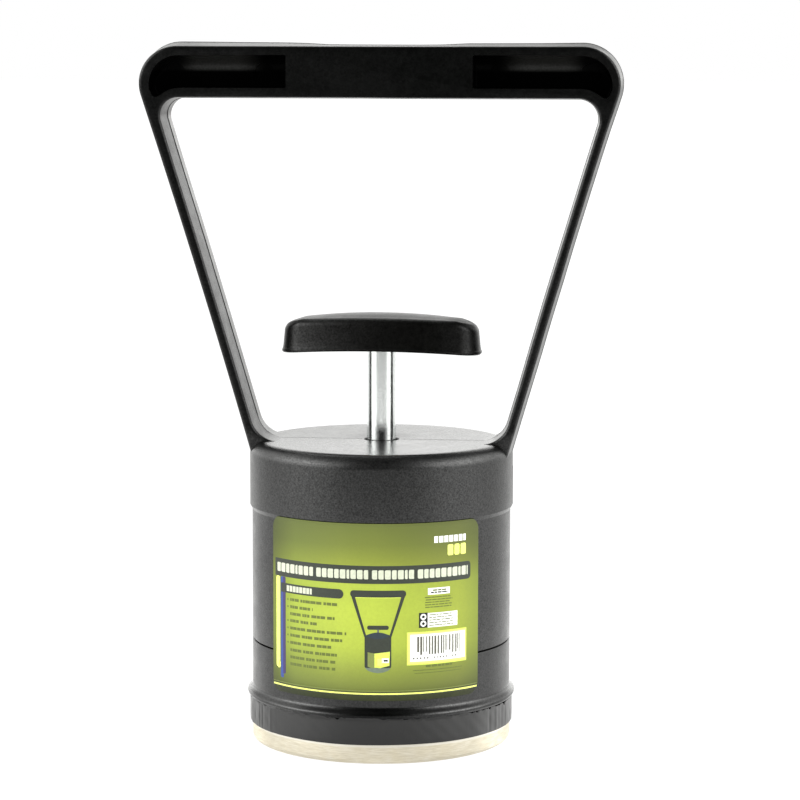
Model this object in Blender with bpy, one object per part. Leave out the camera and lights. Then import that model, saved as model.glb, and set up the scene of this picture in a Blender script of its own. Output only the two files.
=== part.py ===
"""Hand-held magnetic pick-up tool with a quick-release T-handle.

A trapezoid grip is moulded in one piece with a round body.  Inside it two ring
magnets in a steel pot hang on a rod, just above a thin base cup.  Pulling the
T-handle lifts the magnets off the base against a return spring.

Frame: origin at the centre of the base's underside, +X along the grip,
-Y (front) towards the label, +Z up.  Dimensions are in millimetres; the
objects are written in metres.
"""
import math

import bpy
import bmesh

MM = 0.001
SIDES = (-1, 1)

# Facets round a full turn
BODY_FACETS = 64
MAGNET_FACETS = 40
ROD_FACETS = 24

# ---------------------------------------------------------------- shared dimensions
OVERALL_HEIGHT = 152.4

# Upper body
CAP_TOP_Z = 66.2            # flat top of the body
PLATE_LOW_Z = 63.4          # underside of the top plate
BODY_RADIUS = 28.39
BOSS_BORE_R = 5.3
SEAM_Z = 22.47              # line between upper and lower body
SEAM_GAP = 0.30
UPPER_SEAM_Z = SEAM_Z + SEAM_GAP / 2
LOWER_SEAM_Z = SEAM_Z - SEAM_GAP / 2

# Base cup
CUP_TOP_Z = 9.6

# Rod and its hardware
ROD_R = 3.2
ROD_LOW_Z = 3.8
ROD_TOP_Z = 91.4
NUT_ACROSS_FLATS = 10.0
NUT_BORE_R = 3.32
NUT_H = 5.0
JAM_NUT_H = 3.2
POT_HOLE_R = 3.5            # also the washers that clamp the pot
CLAMP_WASHER_H = 1.6
PART_GAP = 0.3              # clearance between stacked parts
NUT_GAP = 0.2               # clearance between a nut and its washer

# Spring and its seats
SEAT_HOLE_R = 3.6
SEAT_OUT_R = 8.6
SEAT_LOW_Z = 19.8           # lower seat, and origin of the moving parts
SEAT_H = 1.5
UPPER_SEAT_Z = 55.75
UPPER_SEAT_H = 1.2
SPRING_GAP = 0.25           # clearance between the spring and each seat

# ---------------------------------------------------------------- materials
MATERIALS = {
    "black_abs": dict(color=(0.022, 0.022, 0.021), roughness=0.42),
    "black_abs_gloss": dict(color=(0.018, 0.018, 0.018), roughness=0.30),
    "black_tee": dict(color=(0.016, 0.016, 0.015), roughness=0.38),
    "black_band": dict(color=(0.040, 0.040, 0.038), roughness=0.45),
    "cup_metal": dict(color=(0.76, 0.71, 0.58), roughness=0.38, metallic=1.0),
    "label_green": dict(color=(0.28, 0.36, 0.07), roughness=0.35),
    "zinc_rod": dict(color=(0.80, 0.82, 0.80), roughness=0.22, metallic=1.0),
    "steel_hardware": dict(color=(0.60, 0.60, 0.58), roughness=0.35, metallic=1.0),
    "spring_steel": dict(color=(0.45, 0.45, 0.44), roughness=0.30, metallic=1.0),
    "pot_steel": dict(color=(0.62, 0.62, 0.60), roughness=0.40, metallic=1.0),
    "ferrite": dict(color=(0.09, 0.09, 0.095), roughness=0.60),
    "nylon": dict(color=(0.80, 0.79, 0.74), roughness=0.45),
    "acetal_bush": dict(color=(0.70, 0.69, 0.65), roughness=0.40),
    "insert_brass": dict(color=(0.78, 0.60, 0.27), roughness=0.35, metallic=1.0),
}


def make_material(name, color, roughness, metallic=0.0):
    material = bpy.data.materials.new(name)
    material.use_nodes = True
    shader = material.node_tree.nodes["Principled BSDF"]
    shader.inputs["Base Color"].default_value = (*color, 1.0)
    shader.inputs["Roughness"].default_value = roughness
    shader.inputs["Metallic"].default_value = metallic
    material.diffuse_color = (*color, 1.0)


# ---------------------------------------------------------------- objects
def clear_scene():
    for ob in list(bpy.data.objects):
        bpy.data.objects.remove(ob, do_unlink=True)


def place(ob, origin_z, parent):
    """Link an object with its origin on the Z axis, at origin_z in the frame."""
    bpy.context.collection.objects.link(ob)
    parent_z = 0.0
    if parent is not None:
        ob.parent = parent
        parent_z = parent["world_z_mm"]
    ob.location = (0.0, 0.0, (origin_z - parent_z) * MM)
    return ob


def add_axis(name, origin_z, parent=None):
    """Add an empty that remembers its height for its children."""
    ob = bpy.data.objects.new(name, None)
    ob["world_z_mm"] = origin_z
    return place(ob, origin_z, parent)


def add_solid(name, bm, material=None, origin_z=0.0, sharp_deg=35.0, parent=None):
    """Turn a bmesh in millimetres into an object; without a material it is a hidden tool."""
    bmesh.ops.remove_doubles(bm, verts=bm.verts, dist=1e-5)
    bmesh.ops.recalc_face_normals(bm, faces=bm.faces)
    if bm.calc_volume(signed=True) < 0:
        bmesh.ops.reverse_faces(bm, faces=bm.faces)
    for v in bm.verts:
        v.co = (v.co.x * MM, v.co.y * MM, (v.co.z - origin_z) * MM)
    mesh = bpy.data.meshes.new(name)
    bm.to_mesh(mesh)
    bm.free()
    mesh.shade_smooth()
    mesh.set_sharp_from_angle(angle=math.radians(sharp_deg))
    ob = bpy.data.objects.new(name, mesh)
    if material is None:
        ob.hide_render = True
        ob.display_type = 'WIRE'
    else:
        mesh.materials.append(bpy.data.materials[material])
    return place(ob, origin_z, parent)


def add_boolean(ob, tool, operation):
    modifier = ob.modifiers.new(operation.lower(), 'BOOLEAN')
    modifier.operation = operation
    modifier.solver = 'EXACT'
    modifier.object = tool


# ---------------------------------------------------------------- mesh helpers
def arc(centre_x, centre_z, radius, start_deg, end_deg, steps):
    points = []
    for i in range(steps + 1):
        angle = math.radians(start_deg + (end_deg - start_deg) * i / steps)
        points.append((centre_x + radius * math.cos(angle),
                       centre_z + radius * math.sin(angle)))
    return points


def join_rings_closed(bm, rings):
    """Skin a loop of rings, the last back to the first; a one-vertex ring is a pole."""
    facets = max(len(ring) for ring in rings)
    for i, a in enumerate(rings):
        b = rings[(i + 1) % len(rings)]
        if len(a) == 1 and len(b) == 1:
            continue
        for k in range(facets):
            following = (k + 1) % facets
            if len(a) == 1:
                bm.faces.new((a[0], b[k], b[following]))
            elif len(b) == 1:
                bm.faces.new((a[k], b[0], a[following]))
            else:
                bm.faces.new((a[k], b[k], b[following], a[following]))


def lathe_mesh(profile, facets):
    """Revolve a closed (r, z) outline about Z. Points with r = 0 become poles."""
    bm = bmesh.new()
    rings = []
    for r, z in profile:
        if r < 1e-6:
            rings.append([bm.verts.new((0.0, 0.0, z))])
        else:
            rings.append([bm.verts.new((r * math.cos(2 * math.pi * k / facets),
                                        r * math.sin(2 * math.pi * k / facets), z))
                          for k in range(facets)])
    join_rings_closed(bm, rings)
    return bm


def add_lathe(name, profile, facets, material, **placing):
    return add_solid(name, lathe_mesh(profile, facets), material, **placing)


def loft_sides(point_rings):
    """Skin equal-length rings in order, leaving both ends open."""
    bm = bmesh.new()
    rings = [[bm.verts.new(point) for point in ring] for ring in point_rings]
    count = len(rings[0])
    for a, b in zip(rings, rings[1:]):
        for k in range(count):
            following = (k + 1) % count
            bm.faces.new((a[k], a[following], b[following], b[k]))
    return bm, rings


def tube_mesh(point_rings):
    """Loft with a single flat face on each end."""
    bm, rings = loft_sides(point_rings)
    bm.faces.new(list(reversed(rings[0])))
    bm.faces.new(rings[-1])
    return bm


def stack_y_mesh(levels):
    """Join equal-length (x, z) outlines at successive y, with triangulated ends."""
    bm, rings = loft_sides([[(x, y, z) for x, z in outline] for y, outline in levels])
    ends = [bm.faces.new(rings[0]), bm.faces.new(list(reversed(rings[-1])))]
    for face in ends:
        face.normal_update()
    bmesh.ops.triangulate(bm, faces=ends)
    return bm


# ---------------------------------------------------------------- washers and nuts
NUT_FACE_RATIO = 0.97       # end faces' rim against half the width across flats
NUT_CHAMFER_H = 0.55


def add_washer(name, inner_r, outer_r, low_z, height, **placing):
    top_z = low_z + height
    profile = [(inner_r, low_z), (outer_r, low_z), (outer_r, top_z), (inner_r, top_z)]
    add_lathe(name, profile, ROD_FACETS, "steel_hardware", **placing)


def nut_mesh(low_z, height):
    """Hexagon nut: the corners are chamfered top and bottom."""
    flat_r = NUT_ACROSS_FLATS / 2.0
    rim_r = flat_r * NUT_FACE_RATIO
    # radius (None where the ring is hexagonal), z
    rows = ((NUT_BORE_R, low_z), (rim_r, low_z), (None, low_z + NUT_CHAMFER_H),
            (None, low_z + height - NUT_CHAMFER_H), (rim_r, low_z + height),
            (NUT_BORE_R, low_z + height))
    bm = bmesh.new()
    rings = []
    for row_r, z in rows:
        ring = []
        for k in range(ROD_FACETS):
            deg = 360.0 * k / ROD_FACETS
            r = row_r
            if r is None:
                from_flat = (deg + 30.0) % 60.0 - 30.0
                r = flat_r / math.cos(math.radians(from_flat))
            angle = math.radians(deg)
            ring.append(bm.verts.new((r * math.cos(angle), r * math.sin(angle), z)))
        rings.append(ring)
    join_rings_closed(bm, rings)
    return bm


# ---------------------------------------------------------------- grip
GRIP_DEPTH = 14.6           # front to back
GRIP_DRAFT = 0.5            # inset of the front and back faces against the middle
GRIP_CROWN = 0.4            # the bar's top is drafted more than the legs
# depth behind the face, inset beyond the draft
GRIP_EDGE = ((0.0, 0.45), (0.13, 0.13), (0.45, 0.0))
CORNER_X, CORNER_Z, CORNER_R = 43.6, 143.4, 9.0     # outer corner's centre and radius
CORNER_START_DEG = -18.2
CORNER_SWEEP_DEG = 108.2
CORNER_STEPS = 10

GRIP_ROOT_Z = 60.0          # lower end of the legs, inside the body's wall
LEG_OUTER_Z = (GRIP_ROOT_Z, 66.0, 78.0, 92.0, 106.0, 120.0, 131.0)
LEG_OUTER_INSET = 1.04      # sideways share of an inset on the leaning outer face
LEG_INNER_Z = (124.0, 110.0, 96.0, 84.0)
LEG_LEAN = 0.297            # inner face's x per z
LEG_LEAN_DEG = math.degrees(math.atan(LEG_LEAN))
LEG_SINE = math.sin(math.atan2(1.0, LEG_LEAN))

BAR_MIDDLE_X = 15.0         # half length of the sunken middle
BAR_BLEND_X = 6.0           # run from the sunken middle to full height
BAR_SINK = 0.35
BAR_TOP_X = (36.0, 28.0, 21.0, 18.0, BAR_MIDDLE_X)
BAR_LOW_X = (BAR_MIDDLE_X, 28.0)
BAR_LOW_Z = 140.6
BAR_LOW_INSET = 0.4         # rise of the bar's underside per inset
INNER_FILLET_R = 3.9
INNER_FILLET_GROWTH = 0.7   # growth of the fillet's radius per inset
FOOT_FILLET_R = 6.0
FOOT_FILLET_END_DEG = -84.0     # stopped just short of tangent
ROOT_WALL = 0.45            # root's thickness in x, within the body's wall


def leg_outer(z):
    """Outer face of a leg at mid depth: a line with a slight bow."""
    t = z - CAP_TOP_Z
    return 29.2 + 0.288 * t + 0.000267 * t * t


def leg_inner(z, inset, fillet_r=0.0):
    """Inner face of a leg at an inset, or the centre x of a fillet touching it."""
    return 6.60 + LEG_LEAN * z + inset / LEG_SINE - fillet_r / LEG_SINE


def bar_top(x):
    """Top of the bar, eased down to its sunken middle."""
    t = min(1.0, max(0.0, (abs(x) - BAR_MIDDLE_X) / BAR_BLEND_X))
    return OVERALL_HEIGHT - BAR_SINK * (1.0 - t * t * (3.0 - 2.0 * t))


def grip_outer_side(inset):
    """Right half of the outer outline, from the root up to the bar's middle."""
    points = [(leg_outer(z) - inset * LEG_OUTER_INSET, z) for z in LEG_OUTER_Z]
    for k in range(CORNER_STEPS + 1):
        a = math.radians(CORNER_START_DEG + CORNER_SWEEP_DEG * k / CORNER_STEPS)
        r = CORNER_R - inset * (1.0 + GRIP_CROWN * max(0.0, math.sin(a)) ** 2)
        points.append((CORNER_X + r * math.cos(a), CORNER_Z + r * math.sin(a)))
    points += [(x, bar_top(x) - inset * (1.0 + GRIP_CROWN)) for x in BAR_TOP_X]
    return points


def grip_inner_side(inset):
    """Right half of the inner outline, from the bar's middle down to the root."""
    bar_z = BAR_LOW_Z + BAR_LOW_INSET * inset
    points = [(x, bar_z) for x in BAR_LOW_X]
    fillet_r = INNER_FILLET_R + INNER_FILLET_GROWTH * inset
    fillet_z = bar_z - fillet_r
    points += arc(leg_inner(fillet_z, inset, fillet_r), fillet_z, fillet_r,
                  90.0, -LEG_LEAN_DEG, 7)
    points += [(leg_inner(z, inset), z) for z in LEG_INNER_Z]
    # foot fillet on the top plate
    foot_z = CAP_TOP_Z + FOOT_FILLET_R
    foot_x = leg_inner(foot_z, inset, FOOT_FILLET_R)
    points += arc(foot_x, foot_z, FOOT_FILLET_R, -LEG_LEAN_DEG, FOOT_FILLET_END_DEG, 6)
    # root, buried in the top plate and the body's wall
    root_x = leg_outer(GRIP_ROOT_Z) - inset * LEG_OUTER_INSET - ROOT_WALL
    points += [(foot_x - 0.6, CAP_TOP_Z - 0.9), (root_x - 1.2, PLATE_LOW_Z + 0.5),
               (root_x, PLATE_LOW_Z + 0.1), (root_x, GRIP_ROOT_Z)]
    return points


def mirrored(points):
    return [(-x, z) for x, z in reversed(points)]


def grip_outline(inset):
    outer = grip_outer_side(inset)
    inner = grip_inner_side(inset)
    return outer + mirrored(outer) + mirrored(inner) + inner


def grip_mesh():
    half_depth = GRIP_DEPTH / 2.0
    steps = [(half_depth - depth, GRIP_DRAFT + inset) for depth, inset in GRIP_EDGE]
    levels = [(-y, grip_outline(inset)) for y, inset in steps]
    levels.append((0.0, grip_outline(0.0)))
    levels += [(y, grip_outline(inset)) for y, inset in reversed(steps)]
    return stack_y_mesh(levels)


# ---------------------------------------------------------------- grip pockets
POCKET_IN_X = 20.1          # pockets lie either side of the solid middle
POCKET_OUT_X = 50.0
POCKET_LOW_Z = 142.8
POCKET_TOP_Z = 149.9
POCKET_TOP_END_X = 42.4     # outer end of the flat top edge
POCKET_FLOOR_Y = 1.25       # half the web between front and back pockets
POCKET_FLOOR_INSET = 0.25
POCKET_OVERCUT = 0.5        # tool's reach beyond the grip's face
# lower outer end, going inwards: x, z, and the shift in x and z per inset
POCKET_TOE = (
    (49.55, 141.6, -1, 0), (48.9, 140.85, -1, 0), (48.1, 140.8, 0, 1),
    (47.2, 141.35, 0, 1), (46.0, 142.15, 0, 1), (44.6, 142.65, 0, 1),
)


def pocket_outline(inset):
    """A slot whose outer end follows the grip's corner into the leg."""
    top_z = POCKET_TOP_Z - inset
    points = [(POCKET_IN_X + inset, POCKET_LOW_Z + inset), (POCKET_IN_X + inset, top_z),
              (POCKET_TOP_END_X, top_z)]
    points += arc(CORNER_X, CORNER_Z, POCKET_OUT_X - CORNER_X - inset, 90.0, -8.0, 8)[1:]
    points += [(x + inset * shift_x, z + inset * shift_z)
               for x, z, shift_x, shift_z in POCKET_TOE]
    return points


def add_pocket_tool(side_x, side_y):
    name = "pocket_%s_%s" % ("left" if side_x < 0 else "right",
                             "front" if side_y < 0 else "back")
    levels = [(side_y * y, [(side_x * x, z) for x, z in pocket_outline(inset)])
              for y, inset in ((GRIP_DEPTH / 2.0 + POCKET_OVERCUT, 0.0),
                               (POCKET_FLOOR_Y, POCKET_FLOOR_INSET))]
    return add_solid(name, stack_y_mesh(levels))


# ---------------------------------------------------------------- upper housing
CAP_RADIUS = 28.89
CAP_EDGE_R = 3.05           # rounded top edge
STEP_TOP_Z = 52.1           # small chamfered step below the cap
STEP_LOW_Z = 51.2
ROD_HOLE_R = 3.8
ROD_HOLE_LOW_Z = PLATE_LOW_Z - 0.1
WALL_IN_R = 26.3
WALL_CHAMFER = 1.5          # between the bore and the top plate
BOSS_R = 8.4
BOSS_CHAMFER = 0.8
BOSS_LOW_Z = 59.1


def add_handle_housing():
    """Cap, body and grip in one moulding."""
    edge = CAP_EDGE_R
    profile = [(ROD_HOLE_R, CAP_TOP_Z)]
    profile += arc(CAP_RADIUS - edge, CAP_TOP_Z - edge, edge, 90.0, 0.0, 5)
    profile += [
        (CAP_RADIUS, STEP_TOP_Z), (BODY_RADIUS, STEP_LOW_Z), (BODY_RADIUS, UPPER_SEAM_Z),
        (WALL_IN_R, UPPER_SEAM_Z), (WALL_IN_R, PLATE_LOW_Z - WALL_CHAMFER),
        (WALL_IN_R - WALL_CHAMFER, PLATE_LOW_Z), (BOSS_R + BOSS_CHAMFER, PLATE_LOW_Z),
        (BOSS_R, PLATE_LOW_Z - BOSS_CHAMFER), (BOSS_R, BOSS_LOW_Z),
        (BOSS_BORE_R, BOSS_LOW_Z), (BOSS_BORE_R, ROD_HOLE_LOW_Z),
        (ROD_HOLE_R, ROD_HOLE_LOW_Z)]
    housing = add_lathe("handle_housing", profile, BODY_FACETS, "black_abs")
    add_boolean(housing, add_solid("grip_solid", grip_mesh()), 'UNION')
    for side_x in SIDES:
        for side_y in SIDES:
            add_boolean(housing, add_pocket_tool(side_x, side_y), 'DIFFERENCE')


# ---------------------------------------------------------------- lower housing
# flare from the body down to the lip: r, z
FLARE = ((BODY_RADIUS, 12.2), (28.46, 11.95), (28.82, 11.60), (29.24, 11.25))
LIP_RADIUS = 29.52
LIP_Z = 10.75
LIP_LOW_Z = 10.35
LIP_LOW_OUT_R = 29.22
LIP_LOW_IN_R = 28.35
SHOULDER_Z = CUP_TOP_Z + PART_GAP
FOOT_SPIGOT_R = 27.4        # spigot inside the base cup
FOOT_SPIGOT_Z = 2.2
SPIGOT_R = 26.0             # spigot inside the upper body
SPIGOT_TOP_Z = 28.0
LOWER_IN_R = 25.0
SPIGOT_CHAMFER = 0.8
SPIGOT_TOP_INSET = 0.5


def add_lower_housing():
    profile = [(BODY_RADIUS, LOWER_SEAM_Z), *FLARE]
    profile += [
        (LIP_RADIUS, LIP_Z + 0.15), (LIP_RADIUS, LIP_Z - 0.1), (LIP_LOW_OUT_R, LIP_LOW_Z),
        (LIP_LOW_IN_R, LIP_LOW_Z), (LIP_LOW_IN_R, SHOULDER_Z), (FOOT_SPIGOT_R, SHOULDER_Z),
        (FOOT_SPIGOT_R, FOOT_SPIGOT_Z + SPIGOT_CHAMFER),
        (FOOT_SPIGOT_R - SPIGOT_CHAMFER, FOOT_SPIGOT_Z),
        (LOWER_IN_R, FOOT_SPIGOT_Z), (LOWER_IN_R, SPIGOT_TOP_Z),
        (SPIGOT_R - SPIGOT_TOP_INSET, SPIGOT_TOP_Z),
        (SPIGOT_R, SPIGOT_TOP_Z - SPIGOT_CHAMFER), (SPIGOT_R, LOWER_SEAM_Z)]
    add_lathe("lower_housing", profile, BODY_FACETS, "black_abs_gloss")


# ---------------------------------------------------------------- base cup and band
CUP_R = 28.40
CUP_WALL = 0.70
CUP_IN_R = CUP_R - CUP_WALL
CUP_FLOOR = 0.70
CUP_EDGE_R = 1.0
CUP_IN_CHAMFER = 0.6

# joint band: r, z
BAND_PROFILE = (
    (28.62, 4.3), (28.88, 4.3), (28.96, 4.45), (28.96, 8.9),
    (29.12, 9.85), (29.06, 10.05), (28.74, 10.05), (28.62, 9.2),
)


def add_base_cup():
    profile = [(0.0, 0.0)]
    profile += arc(CUP_R - CUP_EDGE_R, CUP_EDGE_R, CUP_EDGE_R, -90.0, 0.0, 4)
    profile += [(CUP_R, CUP_TOP_Z), (CUP_IN_R, CUP_TOP_Z),
                (CUP_IN_R, CUP_FLOOR + CUP_IN_CHAMFER),
                (CUP_IN_R - CUP_IN_CHAMFER, CUP_FLOOR), (0.0, CUP_FLOOR)]
    add_lathe("base_cup", profile, BODY_FACETS, "cup_metal")


def add_joint_band():
    """Band over the joint between the cup and the lower housing."""
    add_lathe("joint_band", BAND_PROFILE, BODY_FACETS, "black_band")


# ---------------------------------------------------------------- label
LABEL_IN_R = 28.50
LABEL_OUT_R = 28.70
LABEL_LOW_Z = 13.75
LABEL_TOP_Z = 51.0
LABEL_LEFT_DEG = -49.0      # angles from the front, positive to the right
LABEL_RIGHT_DEG = 52.4
LABEL_CORNER_R = 2.0
LABEL_CORNER_DEG = math.degrees(LABEL_CORNER_R / BODY_RADIUS)
LABEL_CORNER_STEPS = (0.0, 0.08, 0.3, 0.62, 1.0)    # shares of the corner's width


def label_angles():
    """Column angles: in line with the body's facets, and closer at the corners."""
    angles = set()
    step = 360.0 / BODY_FACETS
    k = math.ceil((LABEL_LEFT_DEG + LABEL_CORNER_DEG) / step)
    while k * step < LABEL_RIGHT_DEG - LABEL_CORNER_DEG:
        angles.add(round(k * step, 6))
        k += 1
    for share in LABEL_CORNER_STEPS:
        angles.add(round(LABEL_LEFT_DEG + LABEL_CORNER_DEG * share, 6))
        angles.add(round(LABEL_RIGHT_DEG - LABEL_CORNER_DEG * share, 6))
    return sorted(angles)


def add_front_label():
    """Thin sticker that follows the body, with rounded corners."""
    bm = bmesh.new()
    columns = []
    for deg in label_angles():
        from_edge = min(deg - LABEL_LEFT_DEG, LABEL_RIGHT_DEG - deg)
        share = min(1.0, from_edge / LABEL_CORNER_DEG)
        cut = LABEL_CORNER_R * (1.0 - math.sqrt(max(0.0, 1.0 - (1.0 - share) ** 2)))
        angle = math.radians(deg - 90.0)
        columns.append([bm.verts.new((r * math.cos(angle), r * math.sin(angle), z))
                        for r in (LABEL_IN_R, LABEL_OUT_R)
                        for z in (LABEL_LOW_Z + cut, LABEL_TOP_Z - cut)])
    for a, b in zip(columns, columns[1:]):
        bm.faces.new((a[0], a[1], b[1], b[0]))
        bm.faces.new((a[2], b[2], b[3], a[3]))
        bm.faces.new((a[0], b[0], b[2], a[2]))
        bm.faces.new((a[1], a[3], b[3], b[1]))
    for end in (columns[0], columns[-1]):
        bm.faces.new((end[0], end[2], end[3], end[1]))
    add_solid("front_label", bm, "label_green")


# ---------------------------------------------------------------- rod guide
BUSH_LOW_Z = UPPER_SEAT_Z + UPPER_SEAT_H + PART_GAP
BUSH_TOP_Z = PLATE_LOW_Z - 0.4
BUSH_BORE_R = ROD_R + 0.05
BUSH_R = BOSS_BORE_R - 0.3
BUSH_CHAMFER = 0.5
BUSH_FLANGE_R = 8.2
BUSH_FLANGE_H = 1.5


def add_guide_bush():
    """Flanged bush in the boss, above the upper spring seat."""
    flange_top_z = BUSH_LOW_Z + BUSH_FLANGE_H
    add_lathe("guide_bush", [
        (BUSH_BORE_R, BUSH_LOW_Z), (BUSH_FLANGE_R, BUSH_LOW_Z),
        (BUSH_FLANGE_R, flange_top_z), (BUSH_R, flange_top_z),
        (BUSH_R, BUSH_TOP_Z - BUSH_CHAMFER), (BUSH_R - BUSH_CHAMFER, BUSH_TOP_Z),
        (BUSH_BORE_R, BUSH_TOP_Z)], ROD_FACETS, "acetal_bush")


# ---------------------------------------------------------------- return spring
SPRING_LOW_Z = SEAT_LOW_Z + SEAT_H + SPRING_GAP
SPRING_TOP_Z = UPPER_SEAT_Z - SPRING_GAP
SPRING_MEAN_R = 6.6
WIRE_R = 0.6
WIRE_SIDES = 6
SPRING_TURNS = 9.0
CLOSED_TURNS = 1.0          # at each end
CLOSED_RISE = 2.0 * WIRE_R * 1.06   # rise of a closed turn
STEPS_PER_TURN = 12


def spring_height(turn):
    """Height of the wire's centre after a number of turns."""
    low = SPRING_LOW_Z + WIRE_R
    high = SPRING_TOP_Z - WIRE_R
    if turn < CLOSED_TURNS:
        return low + CLOSED_RISE * turn
    if turn > SPRING_TURNS - CLOSED_TURNS:
        return high - CLOSED_RISE * (SPRING_TURNS - turn)
    free_turns = SPRING_TURNS - 2.0 * CLOSED_TURNS
    pitch = (high - low - 2.0 * CLOSED_RISE * CLOSED_TURNS) / free_turns
    return low + CLOSED_RISE * CLOSED_TURNS + pitch * (turn - CLOSED_TURNS)


def wire_section(turn):
    """One ring of the wire, tilted square to the helix."""
    angle = 2.0 * math.pi * turn
    cosine, sine = math.cos(angle), math.sin(angle)
    nudge = 1e-3
    climb = (spring_height(min(SPRING_TURNS, turn + nudge))
             - spring_height(max(0.0, turn - nudge)))
    tilt = math.atan2(climb / (2 * math.pi * 2 * nudge), SPRING_MEAN_R)
    ring = []
    for k in range(WIRE_SIDES):
        around = 2.0 * math.pi * (k + 0.5) / WIRE_SIDES
        r = SPRING_MEAN_R + WIRE_R * math.cos(around)
        up = WIRE_R * math.sin(around)
        ring.append((r * cosine + up * math.sin(tilt) * sine,
                     r * sine - up * math.sin(tilt) * cosine,
                     spring_height(turn) + up * math.cos(tilt)))
    return ring


def add_return_spring():
    """Compression spring with closed end coils."""
    steps = int(SPRING_TURNS * STEPS_PER_TURN)
    rings = [wire_section(SPRING_TURNS * k / steps) for k in range(steps + 1)]
    add_solid("return_spring", tube_mesh(rings), "spring_steel", sharp_deg=80.0)


# ---------------------------------------------------------------- release rod
ROD_CHAMFER = 0.5
ROD_RING_Z = 60.0           # extra ring of vertices along the rod


def add_release_rod(plunger):
    end_r = ROD_R - ROD_CHAMFER
    add_lathe("release_rod", [
        (0.0, ROD_LOW_Z), (end_r, ROD_LOW_Z), (ROD_R, ROD_LOW_Z + ROD_CHAMFER),
        (ROD_R, ROD_RING_Z), (ROD_R, ROD_TOP_Z - ROD_CHAMFER), (end_r, ROD_TOP_Z),
        (0.0, ROD_TOP_Z)], ROD_FACETS, "zinc_rod", parent=plunger)


# ---------------------------------------------------------------- T-handle
TEE_YAW_DEG = -3.0
TEE_HALF_X = 21.85
TEE_HALF_Y = 8.0
TEE_WAIST = 0.36            # share of the depth lost at the ends
TEE_CORNER_R = 4.4          # corners seen from above
TEE_CORNER_STEPS = 4
TEE_SIDE_STEPS = 12
TEE_LOW_Z = 86.15           # underside at the middle
TEE_TOP_Z = 93.85           # top at the middle
TEE_H = TEE_TOP_Z - TEE_LOW_Z
TEE_LOW_DROOP = 1.0         # how much lower the ends are, underneath
TEE_TOP_DROOP = 1.7         # and on top
TEE_DRAFT = 0.9
TEE_END_R = 2.8             # top rounding at the ends
TEE_EDGE_R = 1.6            # and along the sides
TEE_ROUND_DEG = (0.0, 22.5, 45.0, 67.5, 90.0)

TEE_LIP = 0.16              # rim around the underside
TEE_LIP_H = 0.95
TEE_LIP_DROP = 0.05
TEE_LIP_DRAFT = 0.25

TEE_POCKET_X = (8.2, 18.6)  # near and far ends
TEE_POCKET_HALF_Y = 4.4
TEE_POCKET_OVERCUT = 3.0
TEE_POCKET_ROOF = 3.2       # from the top at the middle
TEE_BORE_OVERCUT = 2.0
TEE_BORE_TOP_Z = ROD_TOP_Z + 0.35
INSERT_Z = TEE_LOW_Z + 0.35
RECESS_OVERCUT = 2.5
RECESS_CLEARANCE = 0.25     # around the nut's flats


def tee_half_depth(x):
    return TEE_HALF_Y * (1.0 - TEE_WAIST * (x / TEE_HALF_X) ** 2)


def tee_half_plan(outset):
    """Back half of the plan outline as (x, y), from the left end to the right."""
    left = []
    for k in range(TEE_CORNER_STEPS + 1):
        a = math.radians(180.0 + 90.0 * k / TEE_CORNER_STEPS)
        x = -(TEE_HALF_X + outset) + TEE_CORNER_R + TEE_CORNER_R * math.cos(a)
        cut = TEE_CORNER_R * (1 + math.sin(a))
        left.append((x, tee_half_depth(x) + outset - cut))
    middle = []
    start, end = left[-1][0], -left[-1][0]
    for k in range(1, TEE_SIDE_STEPS):
        x = start + (end - start) * k / TEE_SIDE_STEPS
        middle.append((x, tee_half_depth(x) + outset))
    right = [(-x, y) for x, y in reversed(left)]
    return left + middle + right


def outward_normals(outline):
    """Unit normals of a closed outline that runs counterclockwise."""
    normals = []
    for k in range(len(outline)):
        before_x, before_y = outline[k - 1]
        after_x, after_y = outline[(k + 1) % len(outline)]
        dx, dy = after_x - before_x, after_y - before_y
        length = math.hypot(dx, dy)
        normals.append((dy / length, -dx / length))
    return normals


def tee_point(position, normal, z, inset):
    """A plan point moved inwards, and lowered towards the handle's ends."""
    x, y = position
    level = (z - TEE_LOW_Z) / (TEE_TOP_Z - TEE_LOW_Z)
    droop = (TEE_LOW_DROOP + (TEE_TOP_DROOP - TEE_LOW_DROOP) * level) * (x / TEE_HALF_X) ** 2
    return (x - normal[0] * inset, y - normal[1] * inset, z - droop)


def tee_mesh(outset, low_z, height, draft, edge_r=0.0, end_r=0.0, round_deg=(0.0,)):
    """Loft of the plan outline, with its top edge rounded by edge_r and end_r."""
    half = tee_half_plan(outset)
    outline = [(x, -y) for x, y in half] + list(reversed(half))
    normals = outward_normals(outline)
    rings = [[tee_point(p, n, low_z, 0.0) for p, n in zip(outline, normals)]]
    for deg in round_deg:
        a = math.radians(deg)
        ring = []
        for p, n in zip(outline, normals):
            r = edge_r + (end_r - edge_r) * n[0] * n[0]
            z = low_z + height - r * (1.0 - math.sin(a))
            inset = draft * (1.0 - r / height) + r * (1.0 - math.cos(a))
            ring.append(tee_point(p, n, z, inset))
        rings.append(ring)
    bm, rings = loft_sides(rings)
    last = len(outline) - 1
    # close both ends with strips that run from front to back
    for ring in (rings[0], rings[-1]):
        for k in range(len(half) - 1):
            bm.faces.new((ring[k], ring[k + 1], ring[last - 1 - k], ring[last - k]))
    return bm


def tee_pocket_mesh(side):
    """Box that hollows one arm from below."""
    x0, x1 = sorted(side * x for x in TEE_POCKET_X)
    z0, z1 = TEE_LOW_Z - TEE_POCKET_OVERCUT, TEE_TOP_Z - TEE_POCKET_ROOF
    outline = [(x0, z0), (x1, z0), (x1, z1), (x0, z1)]
    return stack_y_mesh([(-TEE_POCKET_HALF_Y, outline), (TEE_POCKET_HALF_Y, outline)])


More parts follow.
